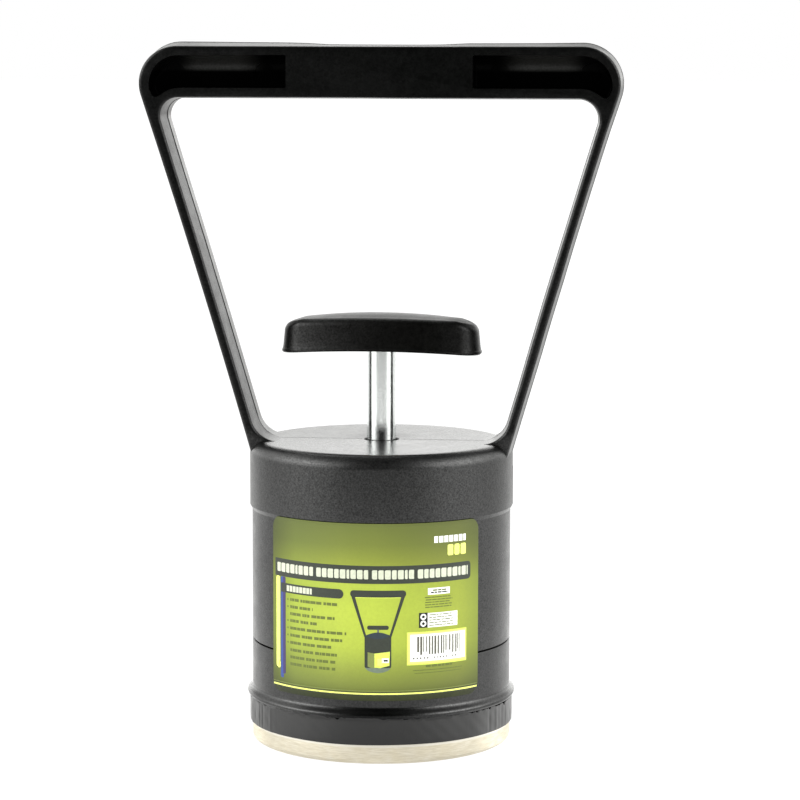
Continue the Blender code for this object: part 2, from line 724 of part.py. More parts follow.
def tee_bore_mesh():
    low_z = TEE_LOW_Z - TEE_BORE_OVERCUT
    return lathe_mesh([(0.0, low_z), (NUT_BORE_R, low_z), (NUT_BORE_R, TEE_BORE_TOP_Z),
                       (0.0, TEE_BORE_TOP_Z)], ROD_FACETS)


def nut_recess_mesh():
    """Hexagonal prism around the insert nut."""
    r = (NUT_ACROSS_FLATS / 2.0 + RECESS_CLEARANCE) / math.cos(math.radians(30.0))
    angles = [math.radians(60.0 * k + 30.0) for k in range(6)]
    heights = (TEE_LOW_Z - RECESS_OVERCUT, INSERT_Z + JAM_NUT_H + PART_GAP)
    return tube_mesh([[(r * math.cos(a), r * math.sin(a), z) for a in angles]
                      for z in heights])


def add_release_handle(plunger):
    def add_turned(name, bm, material=None, origin_z=TEE_LOW_Z):
        """Add a part turned with the handle about Z."""
        ob = add_solid(name, bm, material, origin_z=origin_z, parent=plunger)
        ob.rotation_euler = (0.0, 0.0, math.radians(TEE_YAW_DEG))
        return ob

    tee = add_turned("release_handle", tee_mesh(
        outset=0.0, low_z=TEE_LOW_Z, height=TEE_H, draft=TEE_DRAFT,
        edge_r=TEE_EDGE_R, end_r=TEE_END_R, round_deg=TEE_ROUND_DEG), "black_tee")
    lip = add_turned("tee_lip", tee_mesh(
        outset=TEE_LIP, low_z=TEE_LOW_Z - TEE_LIP_DROP, height=TEE_LIP_H, draft=TEE_LIP_DRAFT))
    add_boolean(tee, lip, 'UNION')
    for name, bm in (("tee_pocket_left", tee_pocket_mesh(-1)),
                     ("tee_pocket_right", tee_pocket_mesh(1)),
                     ("tee_bore", tee_bore_mesh()),
                     ("tee_nut_recess", nut_recess_mesh())):
        add_boolean(tee, add_turned(name, bm), 'DIFFERENCE')
    add_turned("handle_insert_nut", nut_mesh(INSERT_Z, JAM_NUT_H), "insert_brass",
               origin_z=INSERT_Z)


# ---------------------------------------------------------------- magnet stack
POT_R = 24.2
POT_WALL = 2.0
POT_IN_R = POT_R - POT_WALL
POT_LOW_Z = 1.1
POT_TOP_Z = 14.1
POT_PLATE = 2.5
POT_PLATE_LOW_Z = POT_TOP_Z - POT_PLATE
POT_TOP_CHAMFER = 1.2
POT_RIM_CHAMFER = 0.2

MAGNET_OUT_R = 21.7
MAGNET_IN_R = 8.2
MAGNET_H = 4.8
MAGNET_CHAMFER = 0.4
LOWER_MAGNET_Z = 1.4
UPPER_MAGNET_Z = LOWER_MAGNET_Z + MAGNET_H + PART_GAP

POT_WASHER_R = 6.0
POT_WASHER_Z = POT_TOP_Z + PART_GAP
POT_NUT_Z = POT_WASHER_Z + CLAMP_WASHER_H + NUT_GAP

CLAMP_WASHER_R = 7.6
CLAMP_WASHER_Z = POT_PLATE_LOW_Z - PART_GAP - CLAMP_WASHER_H
MAGNET_NUT_Z = CLAMP_WASHER_Z - NUT_GAP - NUT_H

SLEEVE_OUT_R = 7.9
SLEEVE_IN_R = 6.4
SLEEVE_LOW_Z = 1.6
SLEEVE_TOP_Z = CLAMP_WASHER_Z - PART_GAP


def add_magnet_pot(plunger):
    """Steel pot, open downwards."""
    add_lathe("magnet_pot", [
        (POT_HOLE_R, POT_TOP_Z), (POT_R - POT_TOP_CHAMFER, POT_TOP_Z),
        (POT_R, POT_TOP_Z - POT_TOP_CHAMFER), (POT_R, POT_LOW_Z + POT_RIM_CHAMFER),
        (POT_R - POT_RIM_CHAMFER, POT_LOW_Z), (POT_IN_R, POT_LOW_Z),
        (POT_IN_R, POT_PLATE_LOW_Z), (POT_HOLE_R, POT_PLATE_LOW_Z)],
        MAGNET_FACETS, "pot_steel", parent=plunger)


def add_ring_magnet(name, low_z, plunger):
    top_z = low_z + MAGNET_H
    face_r = MAGNET_OUT_R - MAGNET_CHAMFER
    add_lathe(name, [
        (MAGNET_IN_R, low_z), (face_r, low_z), (MAGNET_OUT_R, low_z + MAGNET_CHAMFER),
        (MAGNET_OUT_R, top_z - MAGNET_CHAMFER), (face_r, top_z), (MAGNET_IN_R, top_z)],
        MAGNET_FACETS, "ferrite", parent=plunger)


def add_centring_sleeve(plunger):
    add_lathe("centring_sleeve", [
        (SLEEVE_IN_R, SLEEVE_LOW_Z), (SLEEVE_OUT_R, SLEEVE_LOW_Z),
        (SLEEVE_OUT_R, SLEEVE_TOP_Z), (SLEEVE_IN_R, SLEEVE_TOP_Z)],
        ROD_FACETS, "nylon", parent=plunger)


def add_magnet_stack(plunger):
    """Pot and magnets, with the washers and nuts that hold them on the rod."""
    add_washer("pot_washer", POT_HOLE_R, POT_WASHER_R, POT_WASHER_Z, CLAMP_WASHER_H,
               parent=plunger)
    add_washer("clamp_washer", POT_HOLE_R, CLAMP_WASHER_R, CLAMP_WASHER_Z, CLAMP_WASHER_H,
               parent=plunger)
    for name, z, height in (("plunger_jam_nut", POT_NUT_Z, JAM_NUT_H),
                            ("magnet_nut", MAGNET_NUT_Z, NUT_H)):
        add_solid(name, nut_mesh(z, height), "steel_hardware", origin_z=z, parent=plunger)
    add_magnet_pot(plunger)
    add_ring_magnet("ring_magnet_lower", LOWER_MAGNET_Z, plunger)
    add_ring_magnet("ring_magnet_upper", UPPER_MAGNET_Z, plunger)
    add_centring_sleeve(plunger)


# ---------------------------------------------------------------- build
def build():
    clear_scene()
    for name, settings in MATERIALS.items():
        make_material(name, **settings)

    add_handle_housing()
    add_lower_housing()
    add_base_cup()
    add_joint_band()
    add_front_label()
    add_guide_bush()
    add_washer("upper_spring_washer", SEAT_HOLE_R, SEAT_OUT_R, UPPER_SEAT_Z, UPPER_SEAT_H)
    add_return_spring()

    # the carriage slides on Z; the plunger turns about Z on the carriage
    carriage = add_axis("release_lift_axis", SEAT_LOW_Z)
    add_washer("lower_spring_washer", SEAT_HOLE_R, SEAT_OUT_R, SEAT_LOW_Z, SEAT_H,
               origin_z=SEAT_LOW_Z, parent=carriage)
    plunger = add_axis("release_spin_axis", SEAT_LOW_Z, parent=carriage)
    add_release_rod(plunger)
    add_release_handle(plunger)
    add_magnet_stack(plunger)


build()
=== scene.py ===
"""Looks for a hand-held magnetic pick-up tool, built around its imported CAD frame.

The tool stands upright on z = 0: a metal base cup, a round body with a label round its
front, a wide loop grip on top, and a T-handle on a rod inside the loop.  The front faces
-Y and the grip's bar runs along X.  Each visible piece rides on its CAD body.  Lengths
are millimetres unless a comment says otherwise; commit() turns meshes into metres.
"""
import math
import random

import bpy
import bmesh
import numpy as np
from mathutils import Matrix, Vector


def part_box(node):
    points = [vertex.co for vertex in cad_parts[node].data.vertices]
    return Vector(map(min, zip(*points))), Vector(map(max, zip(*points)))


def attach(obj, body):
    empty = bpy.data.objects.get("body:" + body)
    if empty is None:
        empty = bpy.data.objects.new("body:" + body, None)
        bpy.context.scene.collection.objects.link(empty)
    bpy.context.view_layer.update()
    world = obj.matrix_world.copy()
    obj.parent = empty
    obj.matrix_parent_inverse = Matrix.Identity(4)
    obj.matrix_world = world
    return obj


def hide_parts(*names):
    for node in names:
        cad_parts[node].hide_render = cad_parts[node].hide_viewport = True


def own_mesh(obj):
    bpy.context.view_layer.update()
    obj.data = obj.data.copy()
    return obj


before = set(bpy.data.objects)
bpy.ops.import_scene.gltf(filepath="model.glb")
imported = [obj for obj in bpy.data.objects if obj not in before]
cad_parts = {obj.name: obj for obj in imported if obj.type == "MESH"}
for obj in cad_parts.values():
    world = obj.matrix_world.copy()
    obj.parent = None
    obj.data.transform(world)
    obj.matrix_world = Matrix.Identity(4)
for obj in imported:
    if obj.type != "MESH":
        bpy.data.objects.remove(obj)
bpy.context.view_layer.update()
MM = 0.001


def mm_box(node):
    """Lower and upper corner of a CAD node."""
    low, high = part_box(node)
    return [c / MM for c in low], [c / MM for c in high]


# ------------------------------------------------------------------ driving sizes
HOUSING_LO, HOUSING_HI = mm_box("handle_housing")
ROD_LO, ROD_HI = mm_box("release_rod")
SPRING_LO, SPRING_HI = mm_box("return_spring")
BAND_LOW = mm_box("joint_band")[0][2]
LIP_R = mm_box("lower_housing")[1][0]
CUP_R = mm_box("base_cup")[1][0]

GRIP_TOP = HOUSING_HI[2]
CAP_R = HOUSING_HI[1]
BODY_R = CUP_R - 0.01
CAP_TOP = 66.2
CAP_EDGE_R = 3.05                           # rounding of the cap's upper edge
STEP_TOP, STEP_LOW = 52.1, 51.2             # the cap narrows to the body between these
SEAM_LOW, SEAM_HIGH = 22.32, HOUSING_LO[2]  # gap between lower and upper housing
ROD_R = ROD_HI[0]
ROD_HOLE_R = 3.8
POCKET_CORNER_X, POCKET_CORNER_Z = 43.6, 143.4  # centre of the grip pockets' outer corner


# ------------------------------------------------------------------ mesh helpers
def commit(name, bm, materials=(), sharp=32.0):
    """Turn a bmesh in millimetres into an object in metres."""
    bmesh.ops.recalc_face_normals(bm, faces=bm.faces)
    if bm.calc_volume(signed=True) < 0:
        bmesh.ops.reverse_faces(bm, faces=bm.faces)
    bmesh.ops.scale(bm, vec=(MM, MM, MM), verts=bm.verts)
    mesh = bpy.data.meshes.new(name)
    bm.to_mesh(mesh)
    bm.free()
    for material in materials:
        mesh.materials.append(material)
    mesh.shade_smooth()
    mesh.set_sharp_from_angle(angle=math.radians(sharp))
    ob = bpy.data.objects.new(name, mesh)
    bpy.context.scene.collection.objects.link(ob)
    return ob


def register(ob, body, node=None):
    """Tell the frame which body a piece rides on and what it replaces."""
    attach(ob, body)
    if node:
        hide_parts(node)


def smoothstep(t):
    t = max(0.0, min(1.0, t))
    return t * t * (3 - 2 * t)


def table(x, rows):
    """Straight-line look-up in a list of (x, value), held level past its ends."""
    if x <= rows[0][0]:
        return rows[0][1]
    for (x0, v0), (x1, v1) in zip(rows, rows[1:]):
        if x <= x1:
            return v0 + (v1 - v0) * (x - x0) / (x1 - x0)
    return rows[-1][1]


def arc(cx, cz, radius, start, end, steps):
    """Points on an arc; angles in degrees."""
    angles = [math.radians(start + (end - start) * i / steps) for i in range(steps + 1)]
    return [(cx + radius * math.cos(a), cz + radius * math.sin(a)) for a in angles]


def round_path(points, steps):
    """Closed outline of (r, z) or (r, z, rounding) with those corners rounded."""
    out = []
    for i, point in enumerate(points):
        radius = point[2] if len(point) > 2 else 0.0
        corner = Vector((point[0], point[1]))
        if radius <= 0:
            out.append((corner.x, corner.y))
            continue
        before = Vector(points[i - 1][:2]) - corner
        after = Vector(points[(i + 1) % len(points)][:2]) - corner
        u, v = before / before.length, after / after.length
        half = math.acos(max(-0.9999, min(0.9999, u.dot(v)))) / 2
        reach = min(radius / math.tan(half), 0.48 * before.length, 0.48 * after.length)
        radius = reach * math.tan(half)
        centre = corner + (u + v).normalized() * (radius / math.sin(half))
        start, end = corner + u * reach - centre, corner + v * reach - centre
        a0, a1 = math.atan2(start.y, start.x), math.atan2(end.y, end.x)
        turn = (a1 - a0 + math.pi) % (2 * math.pi) - math.pi
        for j in range(steps + 1):
            a = a0 + turn * j / steps
            out.append((centre.x + radius * math.cos(a), centre.y + radius * math.sin(a)))
    return out


def lathe_bm(profile, segments):
    """Turn a closed (r, z) outline round the z axis."""
    bm = bmesh.new()
    rings = []
    for r, z in profile:
        if r < 1e-6:
            rings.append([bm.verts.new((0, 0, z))])
            continue
        angles = [2 * math.pi * k / segments for k in range(segments)]
        rings.append([bm.verts.new((r * math.cos(a), r * math.sin(a), z)) for a in angles])
    for a, b in zip(rings, rings[1:] + rings[:1]):
        if len(a) == 1 and len(b) == 1:
            continue
        for k in range(segments):
            k2 = (k + 1) % segments
            if len(a) == 1:
                bm.faces.new((a[0], b[k], b[k2]))
            elif len(b) == 1:
                bm.faces.new((a[k], b[0], a[k2]))
            else:
                bm.faces.new((a[k], b[k], b[k2], a[k2]))
    return bm


def lathe(name, points, material, segments, corner_steps=4):
    return commit(name, lathe_bm(round_path(points, corner_steps), segments), [material])


def skin(bm, rings, flip=False):
    """Join closed rings of vertices one after the other; returns the faces."""
    faces = []
    for a, b in zip(rings, rings[1:]):
        for k in range(len(a)):
            k2 = (k + 1) % len(a)
            corners = (a[k], b[k], b[k2], a[k2]) if flip else (a[k], a[k2], b[k2], b[k])
            faces.append(bm.faces.new(corners))
    return faces


def tube(bm, rings):
    """Solid through closed rings of points, with an end face on each end ring."""
    rings = [[bm.verts.new(p) for p in ring] for ring in rings]
    skin(bm, rings)
    bm.faces.new(rings[0])
    bm.faces.new(rings[-1])


def stack_y(bm, levels):
    """Solid through (y, outline) levels, each outline a list of (x, z)."""
    rings = [[bm.verts.new((x, y, z)) for x, z in outline] for y, outline in levels]
    skin(bm, rings)
    for ring in (rings[0], list(reversed(rings[-1]))):
        bm.faces.new(ring).normal_update()


def boolean(ob, tool_bm, operation):
    """Apply a boolean at once and drop its tool."""
    tool = commit("t", tool_bm)
    modifier = ob.modifiers.new("b", 'BOOLEAN')
    modifier.operation = operation
    modifier.solver = 'EXACT'
    modifier.object = tool
    bpy.context.view_layer.update()
    depsgraph = bpy.context.evaluated_depsgraph_get()
    mesh = bpy.data.meshes.new_from_object(ob.evaluated_get(depsgraph), depsgraph=depsgraph)
    ob.modifiers.clear()
    ob.data = mesh
    bpy.data.objects.remove(tool, do_unlink=True)


def tidy(ob, sharp):
    """Clean a boolean's result and set its shading."""
    bm = bmesh.new()
    bm.from_mesh(ob.data)
    bmesh.ops.remove_doubles(bm, verts=bm.verts, dist=2e-6)
    bmesh.ops.dissolve_degenerate(bm, edges=bm.edges, dist=1e-6)
    bmesh.ops.recalc_face_normals(bm, faces=bm.faces)
    bm.to_mesh(ob.data)
    bm.free()
    ob.data.shade_smooth()
    ob.data.set_sharp_from_angle(angle=math.radians(sharp))


# ------------------------------------------------------------------ shader helpers
class Value:
    """A shader output that takes arithmetic; each operator adds one Math node."""

    def __init__(self, graph, socket):
        self.graph = graph
        self.socket = socket

    def __add__(self, other):
        return self.graph.math('ADD', self, other)

    def __radd__(self, other):
        return self.graph.math('ADD', other, self)

    def __sub__(self, other):
        return self.graph.math('SUBTRACT', self, other)

    def __rsub__(self, other):
        return self.graph.math('SUBTRACT', other, self)

    def __mul__(self, other):
        return self.graph.math('MULTIPLY', self, other)

    def __truediv__(self, other):
        return self.graph.math('DIVIDE', self, other)

    def __lt__(self, other):
        return self.graph.math('LESS_THAN', self, other)

    def __gt__(self, other):
        return self.graph.math('GREATER_THAN', self, other)

    def __abs__(self):
        return self.graph.math('ABSOLUTE', self)

    def _remap(self, span, to, interpolation):
        limits = {"From Min": span[0], "From Max": span[1], "To Min": to[0], "To Max": to[1]}
        return self.graph.add("ShaderNodeMapRange", {"Value": self, **limits}, out="Result",
                              interpolation_type=interpolation)

    def line(self, span, to=(0.0, 1.0)):
        """Straight, clamped change from to[0] to to[1] over the span."""
        return self._remap(span, to, 'LINEAR')

    def ease(self, span, to=(0.0, 1.0)):
        """The same with a soft start and end."""
        return self._remap(span, to, 'SMOOTHSTEP')

    def colours(self, stops):
        """Colour ramp through (position, rgb) stops."""
        node = self.graph.node("ShaderNodeValToRGB", {"Fac": self})
        elements = node.color_ramp.elements
        while len(elements) < len(stops):
            elements.new(0.5)
        for element, (position, rgb) in zip(elements, stops):
            element.position = position
            element.color = (*rgb, 1.0)
        return Value(self.graph, node.outputs["Color"])

    def greys(self, stops, scale):
        """Ramp through (position, value) stops, divided by scale to fit 0..1."""
        return self.colours([(position, (v / scale,) * 3) for position, v in stops])

    def lookup(self, stops):
        """Ramp through (position, value) stops at full size."""
        top = max(v for _, v in stops)
        return self.greys(stops, top) * top


class Graph:
    """Builds shader nodes in a node tree."""

    def __init__(self, tree):
        self.tree = tree

    def feed(self, socket, value):
        """Link a Value, or set a number, vector or rgb colour."""
        if isinstance(value, Value):
            self.tree.links.new(value.socket, socket)
        elif socket.type == 'RGBA':
            socket.default_value = (*value, 1.0)
        else:
            socket.default_value = value

    def node(self, kind, inputs=None, **properties):
        node = self.tree.nodes.new(kind)
        for key, value in properties.items():
            setattr(node, key, value)
        for key, value in (inputs or {}).items():
            self.feed(node.inputs[key], value)
        return node

    def add(self, kind, inputs=None, out=0, **properties):
        """Make a node and return one of its outputs."""
        return Value(self, self.node(kind, inputs, **properties).outputs[out])

    def math(self, operation, *values, clamp=False):
        return self.add("ShaderNodeMath", dict(enumerate(values)), operation=operation,
                        use_clamp=clamp)

    def split(self, vector):
        node = self.node("ShaderNodeSeparateXYZ", {0: vector})
        return [Value(self, socket) for socket in node.outputs]

    def for_camera(self, others, camera):
        """Show one shader to camera rays and another to all the rest."""
        is_camera = self.add("ShaderNodeLightPath", out="Is Camera Ray")
        return self.add("ShaderNodeMixShader", {0: is_camera, 1: others, 2: camera})


class Material(Graph):
    """A Principled material; textures use object coordinates in millimetres."""

    SOCKETS = {"color": "Base Color", "rough": "Roughness", "metal": "Metallic",
               "normal": "Normal", "spec": "Specular IOR Level"}

    def __init__(self, name):
        self.data = bpy.data.materials.new(name)
        self.data.use_nodes = True
        super().__init__(self.data.node_tree)
        self.shader = self.tree.nodes["Principled BSDF"]
        self.coords = None

    def set(self, **values):
        for key, value in values.items():
            self.feed(self.shader.inputs[self.SOCKETS[key]], value)

    def current(self, key):
        """What the shader's input is linked to now."""
        return Value(self, self.shader.inputs[self.SOCKETS[key]].links[0].from_socket)

    def millimetres(self):
        if self.coords is None:
            metres = self.add("ShaderNodeTexCoord", out="Object")
            self.coords = self.add("ShaderNodeVectorMath", {"Scale": 1000.0, 0: metres},
                                   operation='SCALE')
        return self.coords

    def position(self):
        return self.split(self.millimetres())

    def facing(self):
        """The surface normal's x, y and z."""
        return self.split(self.add("ShaderNodeNewGeometry", out="Normal"))

    def noise(self, scale, detail=3.0, rough=0.5, stretch=None, distortion=0.0):
        vector = self.millimetres()
        if stretch:
            vector = self.add("ShaderNodeVectorMath", {0: vector, 1: stretch},
                              operation='MULTIPLY')
        inputs = {"Scale": scale, "Detail": detail, "Roughness": rough,
                  "Distortion": distortion, "Vector": vector}
        return self.add("ShaderNodeTexNoise", inputs, out="Fac")

    def mix(self, factor, first, second, blend='MIX'):
        return self.add("ShaderNodeMix", {0: factor, 6: first, 7: second}, out=2,
                        data_type='RGBA', blend_type=blend)

    def bump(self, height, strength, depth, under=None):
        """Bump of a depth in millimetres, laid over the normal `under`."""
        inputs = {"Strength": strength, "Distance": depth * MM, "Height": height}
        if under is not None:
            inputs["Normal"] = under
        return self.add("ShaderNodeBump", inputs, out="Normal")


# ------------------------------------------------------------------ plastics
BLACK = (0.0017, 0.0018, 0.0017)


def plastic(name, base, rough, top_rough, grain, grain_mm, speckle, spec=0.5, top_spec=0.5,
            top_span=(0.80, 0.97), cloud=1.0):
    """Moulded plastic: grain, faint flow marks and uneven sheen; flat tops are smoother.

    grain is the bump's strength and grain_mm its size, speckle the spread of the grain's
    glint, top_span the upward slopes where a top begins, cloud a top's share of the sheen.
    """
    mat = Material(name)
    mat.nx, mat.ny, up = mat.facing()
    mat.top = top = up.ease(top_span)
    leather = mat.noise(1.0 / grain_mm, detail=2.5, rough=0.62, distortion=0.7)
    fine = leather + mat.noise(0.6 / grain_mm, detail=1.0, rough=0.5) * 0.30
    flow = mat.noise(0.16, detail=3.0, rough=0.6, distortion=0.4)
    waves = mat.bump(flow, strength=top.line((0.0, 1.0), to=(0.35, 0.0)), depth=0.03)
    normal = mat.bump(fine, strength=top.line((0.0, 1.0), to=(grain, grain * 0.35)),
                      depth=0.03, under=waves)
    sheen = mat.noise(0.30, detail=4.0, rough=0.65)
    roughness = (top.line((0.0, 1.0), to=(rough, top_rough))
                 + sheen.line((0.3, 0.7), to=(-0.05, 0.05))
                 * top.line((0.0, 1.0), to=(1.0, cloud)))
    tone = mat.noise(0.9, detail=3.0, rough=0.6)
    color = mat.mix(tone.line((0.35, 0.65)), tuple(c * 0.7 for c in base),
                    tuple(c * 1.4 for c in base))
    # the grain's hollows shine less than its crests
    patches = mat.noise(0.9, detail=3.0, rough=0.7)
    glint = (leather.line((0.34, 0.66), to=(1.0 - speckle, 1.0 + speckle))
             + patches.line((0.3, 0.7), to=(-0.2 * speckle, 0.2 * speckle)))
    mat.set(color=color, rough=roughness, normal=normal,
            spec=top.line((0.0, 1.0), to=(spec, top_spec)) * glint)
    return mat


# sheen of the bar's front and back: (place from left to right over the grip, factor)
BAR_SHEEN = [(0.0, 0.36), (0.16, 0.34), (0.26, 0.22), (0.31, 0.17), (0.50, 0.14),
             (0.62, 0.08), (0.74, 0.11), (0.84, 0.24), (1.0, 0.26)]
FACE_SHEEN, FLANK_SHEEN = 0.30, 0.60        # flat faces and flanks of the legs


def grip_sheen(mat, x, y, z, grip, strip):
    """Sheen over cap and grip: dull faces, duller bar, dark parting line on the legs."""
    face = abs(mat.ny).ease((0.80, 0.97))
    flank = 1.0 - face
    bar = x.line((-44.0, 44.0)).lookup(BAR_SHEEN) * z.line((142.0, 148.0), to=(0.75, 1.25))
    on_bar = z.ease((136.0, 141.0))
    face_sheen = on_bar * bar + (1.0 - on_bar) * FACE_SHEEN
    sheen = (1.0 - grip) + grip * (face * face_sheen + flank * FLANK_SHEEN)
    sheen = sheen * (1.0 - strip * abs(x).ease((34.0, 42.0), to=(0.56, 0.78)))
    off_centre = abs(y)
    inward = (x * mat.nx) < 0.0
    seam = (off_centre.ease((0.50, 0.80), to=(0.03, 1.0)) * inward
            + off_centre.ease((0.10, 0.22), to=(0.25, 1.0)) * (1.0 - inward))
    on_leg = z.ease((70.5, 71.5)) * z.ease((150.5, 151.2), to=(1.0, 0.0))
    return sheen * ((1.0 - on_leg) + on_leg * seam)


def pocket_masks(mat, x, y, z):
    """Where the grip's pockets are, and where the cove over their middle takes a highlight,
    used both as sheen and as a painted highlight in the colour.
    """
    across = abs(x)
    past = mat.math('MAXIMUM', across - POCKET_CORNER_X, 0.0)
    rise = z - POCKET_CORNER_Z
    reach = past * past + rise * rise * (past > 0.001)      # squared, from the corner centre
    inside = ((abs(y) < 6.9) * (z > 140.95) * (z < 149.86) * (across > 20.15)
              * (reach < 44.5))
    # glow: mask of the cove's highlight, also painted into the pocket colour below
    glow = (across.ease((25.0, 32.0), to=(0.04, 1.0))
            * across.ease((39.5, 44.5), to=(1.0, 0.10)) * z.ease((146.2, 147.0)))
    return inside, glow


def housing_plastic():
    mat = plastic("abs_black", BLACK, rough=0.32, top_rough=0.25, grain=1.0, grain_mm=0.34,
                  speckle=0.40, cloud=0.25)
    x, y, z = mat.position()
    grip = z.ease((67.0, 69.5))
    strip = z.ease((150.2, 151.6))                          # along the top of the bar
    sheen = grip_sheen(mat, x, y, z, grip, strip)
    inside, glow = pocket_masks(mat, x, y, z)
    sheen = sheen * (1.0 - inside) + (0.015 + glow * 0.33) * inside
    # the top plate's sheen falls off towards the left and the back
    plate = mat.top * (1.0 - grip)
    dots = mat.noise(1.7, detail=2.0, rough=0.65, stretch=(1.0, 0.45, 1.0))
    plate_sheen = (x.line((-24.0, 24.0), to=(0.70, 0.96))
                   * y.line((-12.0, 16.0), to=(1.06, 0.78))
                   * dots.line((0.36, 0.64), to=(0.72, 1.22)))
    sheen = sheen * ((1.0 - plate) + plate * plate_sheen)
    # it is also rougher towards the left and the back
    worn = x.line((-24.0, 24.0), to=(0.54, 0.20)) * y.line((-18.0, 8.0), to=(0.30, 1.0))
    normal = mat.bump(dots, strength=plate * worn, depth=0.10, under=mat.current("normal"))
    dull = (strip * mat.top * x.line((-30.0, 30.0), to=(0.045, 0.11))
            + plate * (worn * 0.08))
    # painted shade and highlight: the pockets' colour is darker than the plastic, lighter
    # where the cove takes its highlight
    pocket_shade_and_highlight = mat.mix(glow, (0.0004, 0.0004, 0.0004), (0.014, 0.014, 0.013))
    mat.set(spec=mat.current("spec") * sheen, normal=normal,
            rough=mat.current("rough") + dull,
            color=mat.mix(inside, mat.current("color"), pocket_shade_and_highlight))
    return mat.data


# the lip's reflection: (sideways part of the normal, factor)
LIP_SHEEN = [(0.0, 0.30), (0.20, 0.45), (0.38, 0.95), (0.55, 1.15), (0.75, 1.0),
             (0.88, 0.60), (1.0, 0.50)]
LIP_ROUGH = 0.17


def lower_plastic():
    """Lower housing: grained above, polished on the rolled lip."""
    mat = plastic("abs_black_lower", BLACK, rough=0.33, top_rough=0.30, grain=0.75,
                  grain_mm=0.34, speckle=0.30)
    z = mat.position()[2]
    above = z.ease((11.9, 12.7))
    mat.set(rough=mat.current("rough") * above + (1.0 - above) * LIP_ROUGH)
    lip_sheen = abs(mat.nx).lookup(LIP_SHEEN)
    mat.set(spec=mat.current("spec") * (above + (1.0 - above) * lip_sheen))
    return mat.data


# sheen of the T-handle's sides: (place from left to right, factor)
TEE_SHEEN = [(0.0, 0.55), (0.05, 0.62), (0.10, 1.12), (0.20, 0.80), (0.30, 0.56),
             (0.50, 0.25), (0.69, 0.10), (0.79, 0.22), (0.885, 0.55), (0.94, 0.60),
             (1.0, 0.42)]


def tee_plastic():
    """T-handle: sides shinier towards the left, top dull at both ends."""
    mat = plastic("tee_black", (0.0020, 0.0020, 0.0018), rough=0.36, top_rough=0.38,
                  grain=0.85, grain_mm=0.40, speckle=0.45, spec=0.30, top_spec=0.34,
                  top_span=(0.45, 0.90), cloud=0.5)
    x = mat.position()[0]
    side_sheen = x.line((-22.0, 22.0)).lookup(TEE_SHEEN)
    side = 1.0 - mat.top
    ends = x.ease((11.5, 17.0), to=(1.0, 0.10)) * x.ease((-19.5, -13.0), to=(0.12, 1.0))
    mat.set(spec=mat.current("spec") * (mat.top * ends + side * side_sheen))
    return mat.data


def shrink_film():
    mat = Material("shrink_film")
    cell = mat.noise(0.9, detail=4.0, rough=0.6, stretch=(1.0, 1.0, 0.25))
    fine = mat.noise(4.0, detail=3.0, rough=0.6)
    normal = mat.bump(cell, strength=0.5, depth=0.06)
    normal = mat.bump(fine, strength=0.3, depth=0.015, under=normal)
    side = abs(mat.facing()[0]).ease((0.72, 0.97))
    mat.set(color=(0.0042, 0.0041, 0.0040), rough=cell.line((0.3, 0.7), to=(0.30, 0.44)),
            normal=normal, spec=0.60 + side * 0.90)
    return mat.data


# ------------------------------------------------------------------ metals and plain solids
# painted light and shade on the cup's colour: (sideways part of the normal, factor)
CUP_SHADE = [(0.0, 0.94), (0.20, 0.92), (0.40, 0.84), (0.60, 0.74), (0.77, 0.72),
             (0.84, 0.84), (0.90, 1.0), (1.0, 1.0)]


def cup_metal():
    """Satin metal with a warm cast, a painted highlight line below the band, and painted light
    and shade by facing.
    """
    mat = Material("cup_metal")
    brush = mat.noise(1.0, detail=5.0, rough=0.65, stretch=(0.35, 0.35, 5.0))
    blot = mat.noise(0.22, detail=4.0, rough=0.6, distortion=0.8)
    color = mat.mix(blot.line((0.35, 0.65)), (0.86, 0.79, 0.62), (0.90, 0.85, 0.72))
    color = mat.mix(brush.line((0.37, 0.63), to=(0.75, 0.0)), color, (0.66, 0.59, 0.43))
    z = mat.position()[2]
    # painted highlight: a pale line mixed into the colour just below the band
    rim_highlight = z.ease((3.55, 3.85)) * z.ease((4.10, 4.30), to=(1.0, 0.0))
    color = mat.mix(rim_highlight * 0.7, color, (0.98, 0.95, 0.86))
    # painted light and shade: the colour is scaled by which way the surface faces
    shade = abs(mat.facing()[0]).lookup(CUP_SHADE)
    grey = mat.add("ShaderNodeCombineColor", {"Red": shade, "Green": shade, "Blue": shade})
    mat.set(color=mat.mix(1.0, color, grey, 'MULTIPLY'), metal=0.85,
            rough=brush.line((0.3, 0.7), to=(0.38, 0.52)),
            normal=mat.bump(brush, strength=0.25, depth=0.02))
    return mat.data


def zinc_plate():
    mat = Material("zinc_plate")
    pit = mat.noise(2.6, detail=3.0, rough=0.65)
    speck = mat.noise(5.0, detail=2.0, rough=0.6).line((0.50, 0.66))
    streak = mat.noise(1.2, detail=4.0, rough=0.6, stretch=(3.0, 3.0, 0.35))
    color = mat.mix(pit.line((0.35, 0.7)), (0.95, 0.97, 0.96), (0.80, 0.83, 0.82))
    streaks = mat.bump(streak, strength=0.2, depth=0.01)
    mat.set(color=mat.mix(speck * 0.55, color, (0.42, 0.46, 0.45)), metal=1.0,
            rough=streak.line((0.3, 0.7), to=(0.12, 0.26)),
            normal=mat.bump(pit, strength=0.5, depth=0.015, under=streaks))
    return mat.data


def metal(name, color, rough, scale=2.0):
    mat = Material(name)
    mottle = mat.noise(scale, detail=4.0, rough=0.6)
    mat.set(color=mat.mix(mottle.line((0.3, 0.7)), tuple(c * 0.75 for c in color), color),
            metal=1.0, rough=mottle.line((0.3, 0.7), to=(rough - 0.06, rough + 0.08)),
            normal=mat.bump(mottle, strength=0.25, depth=0.012))
    return mat.data


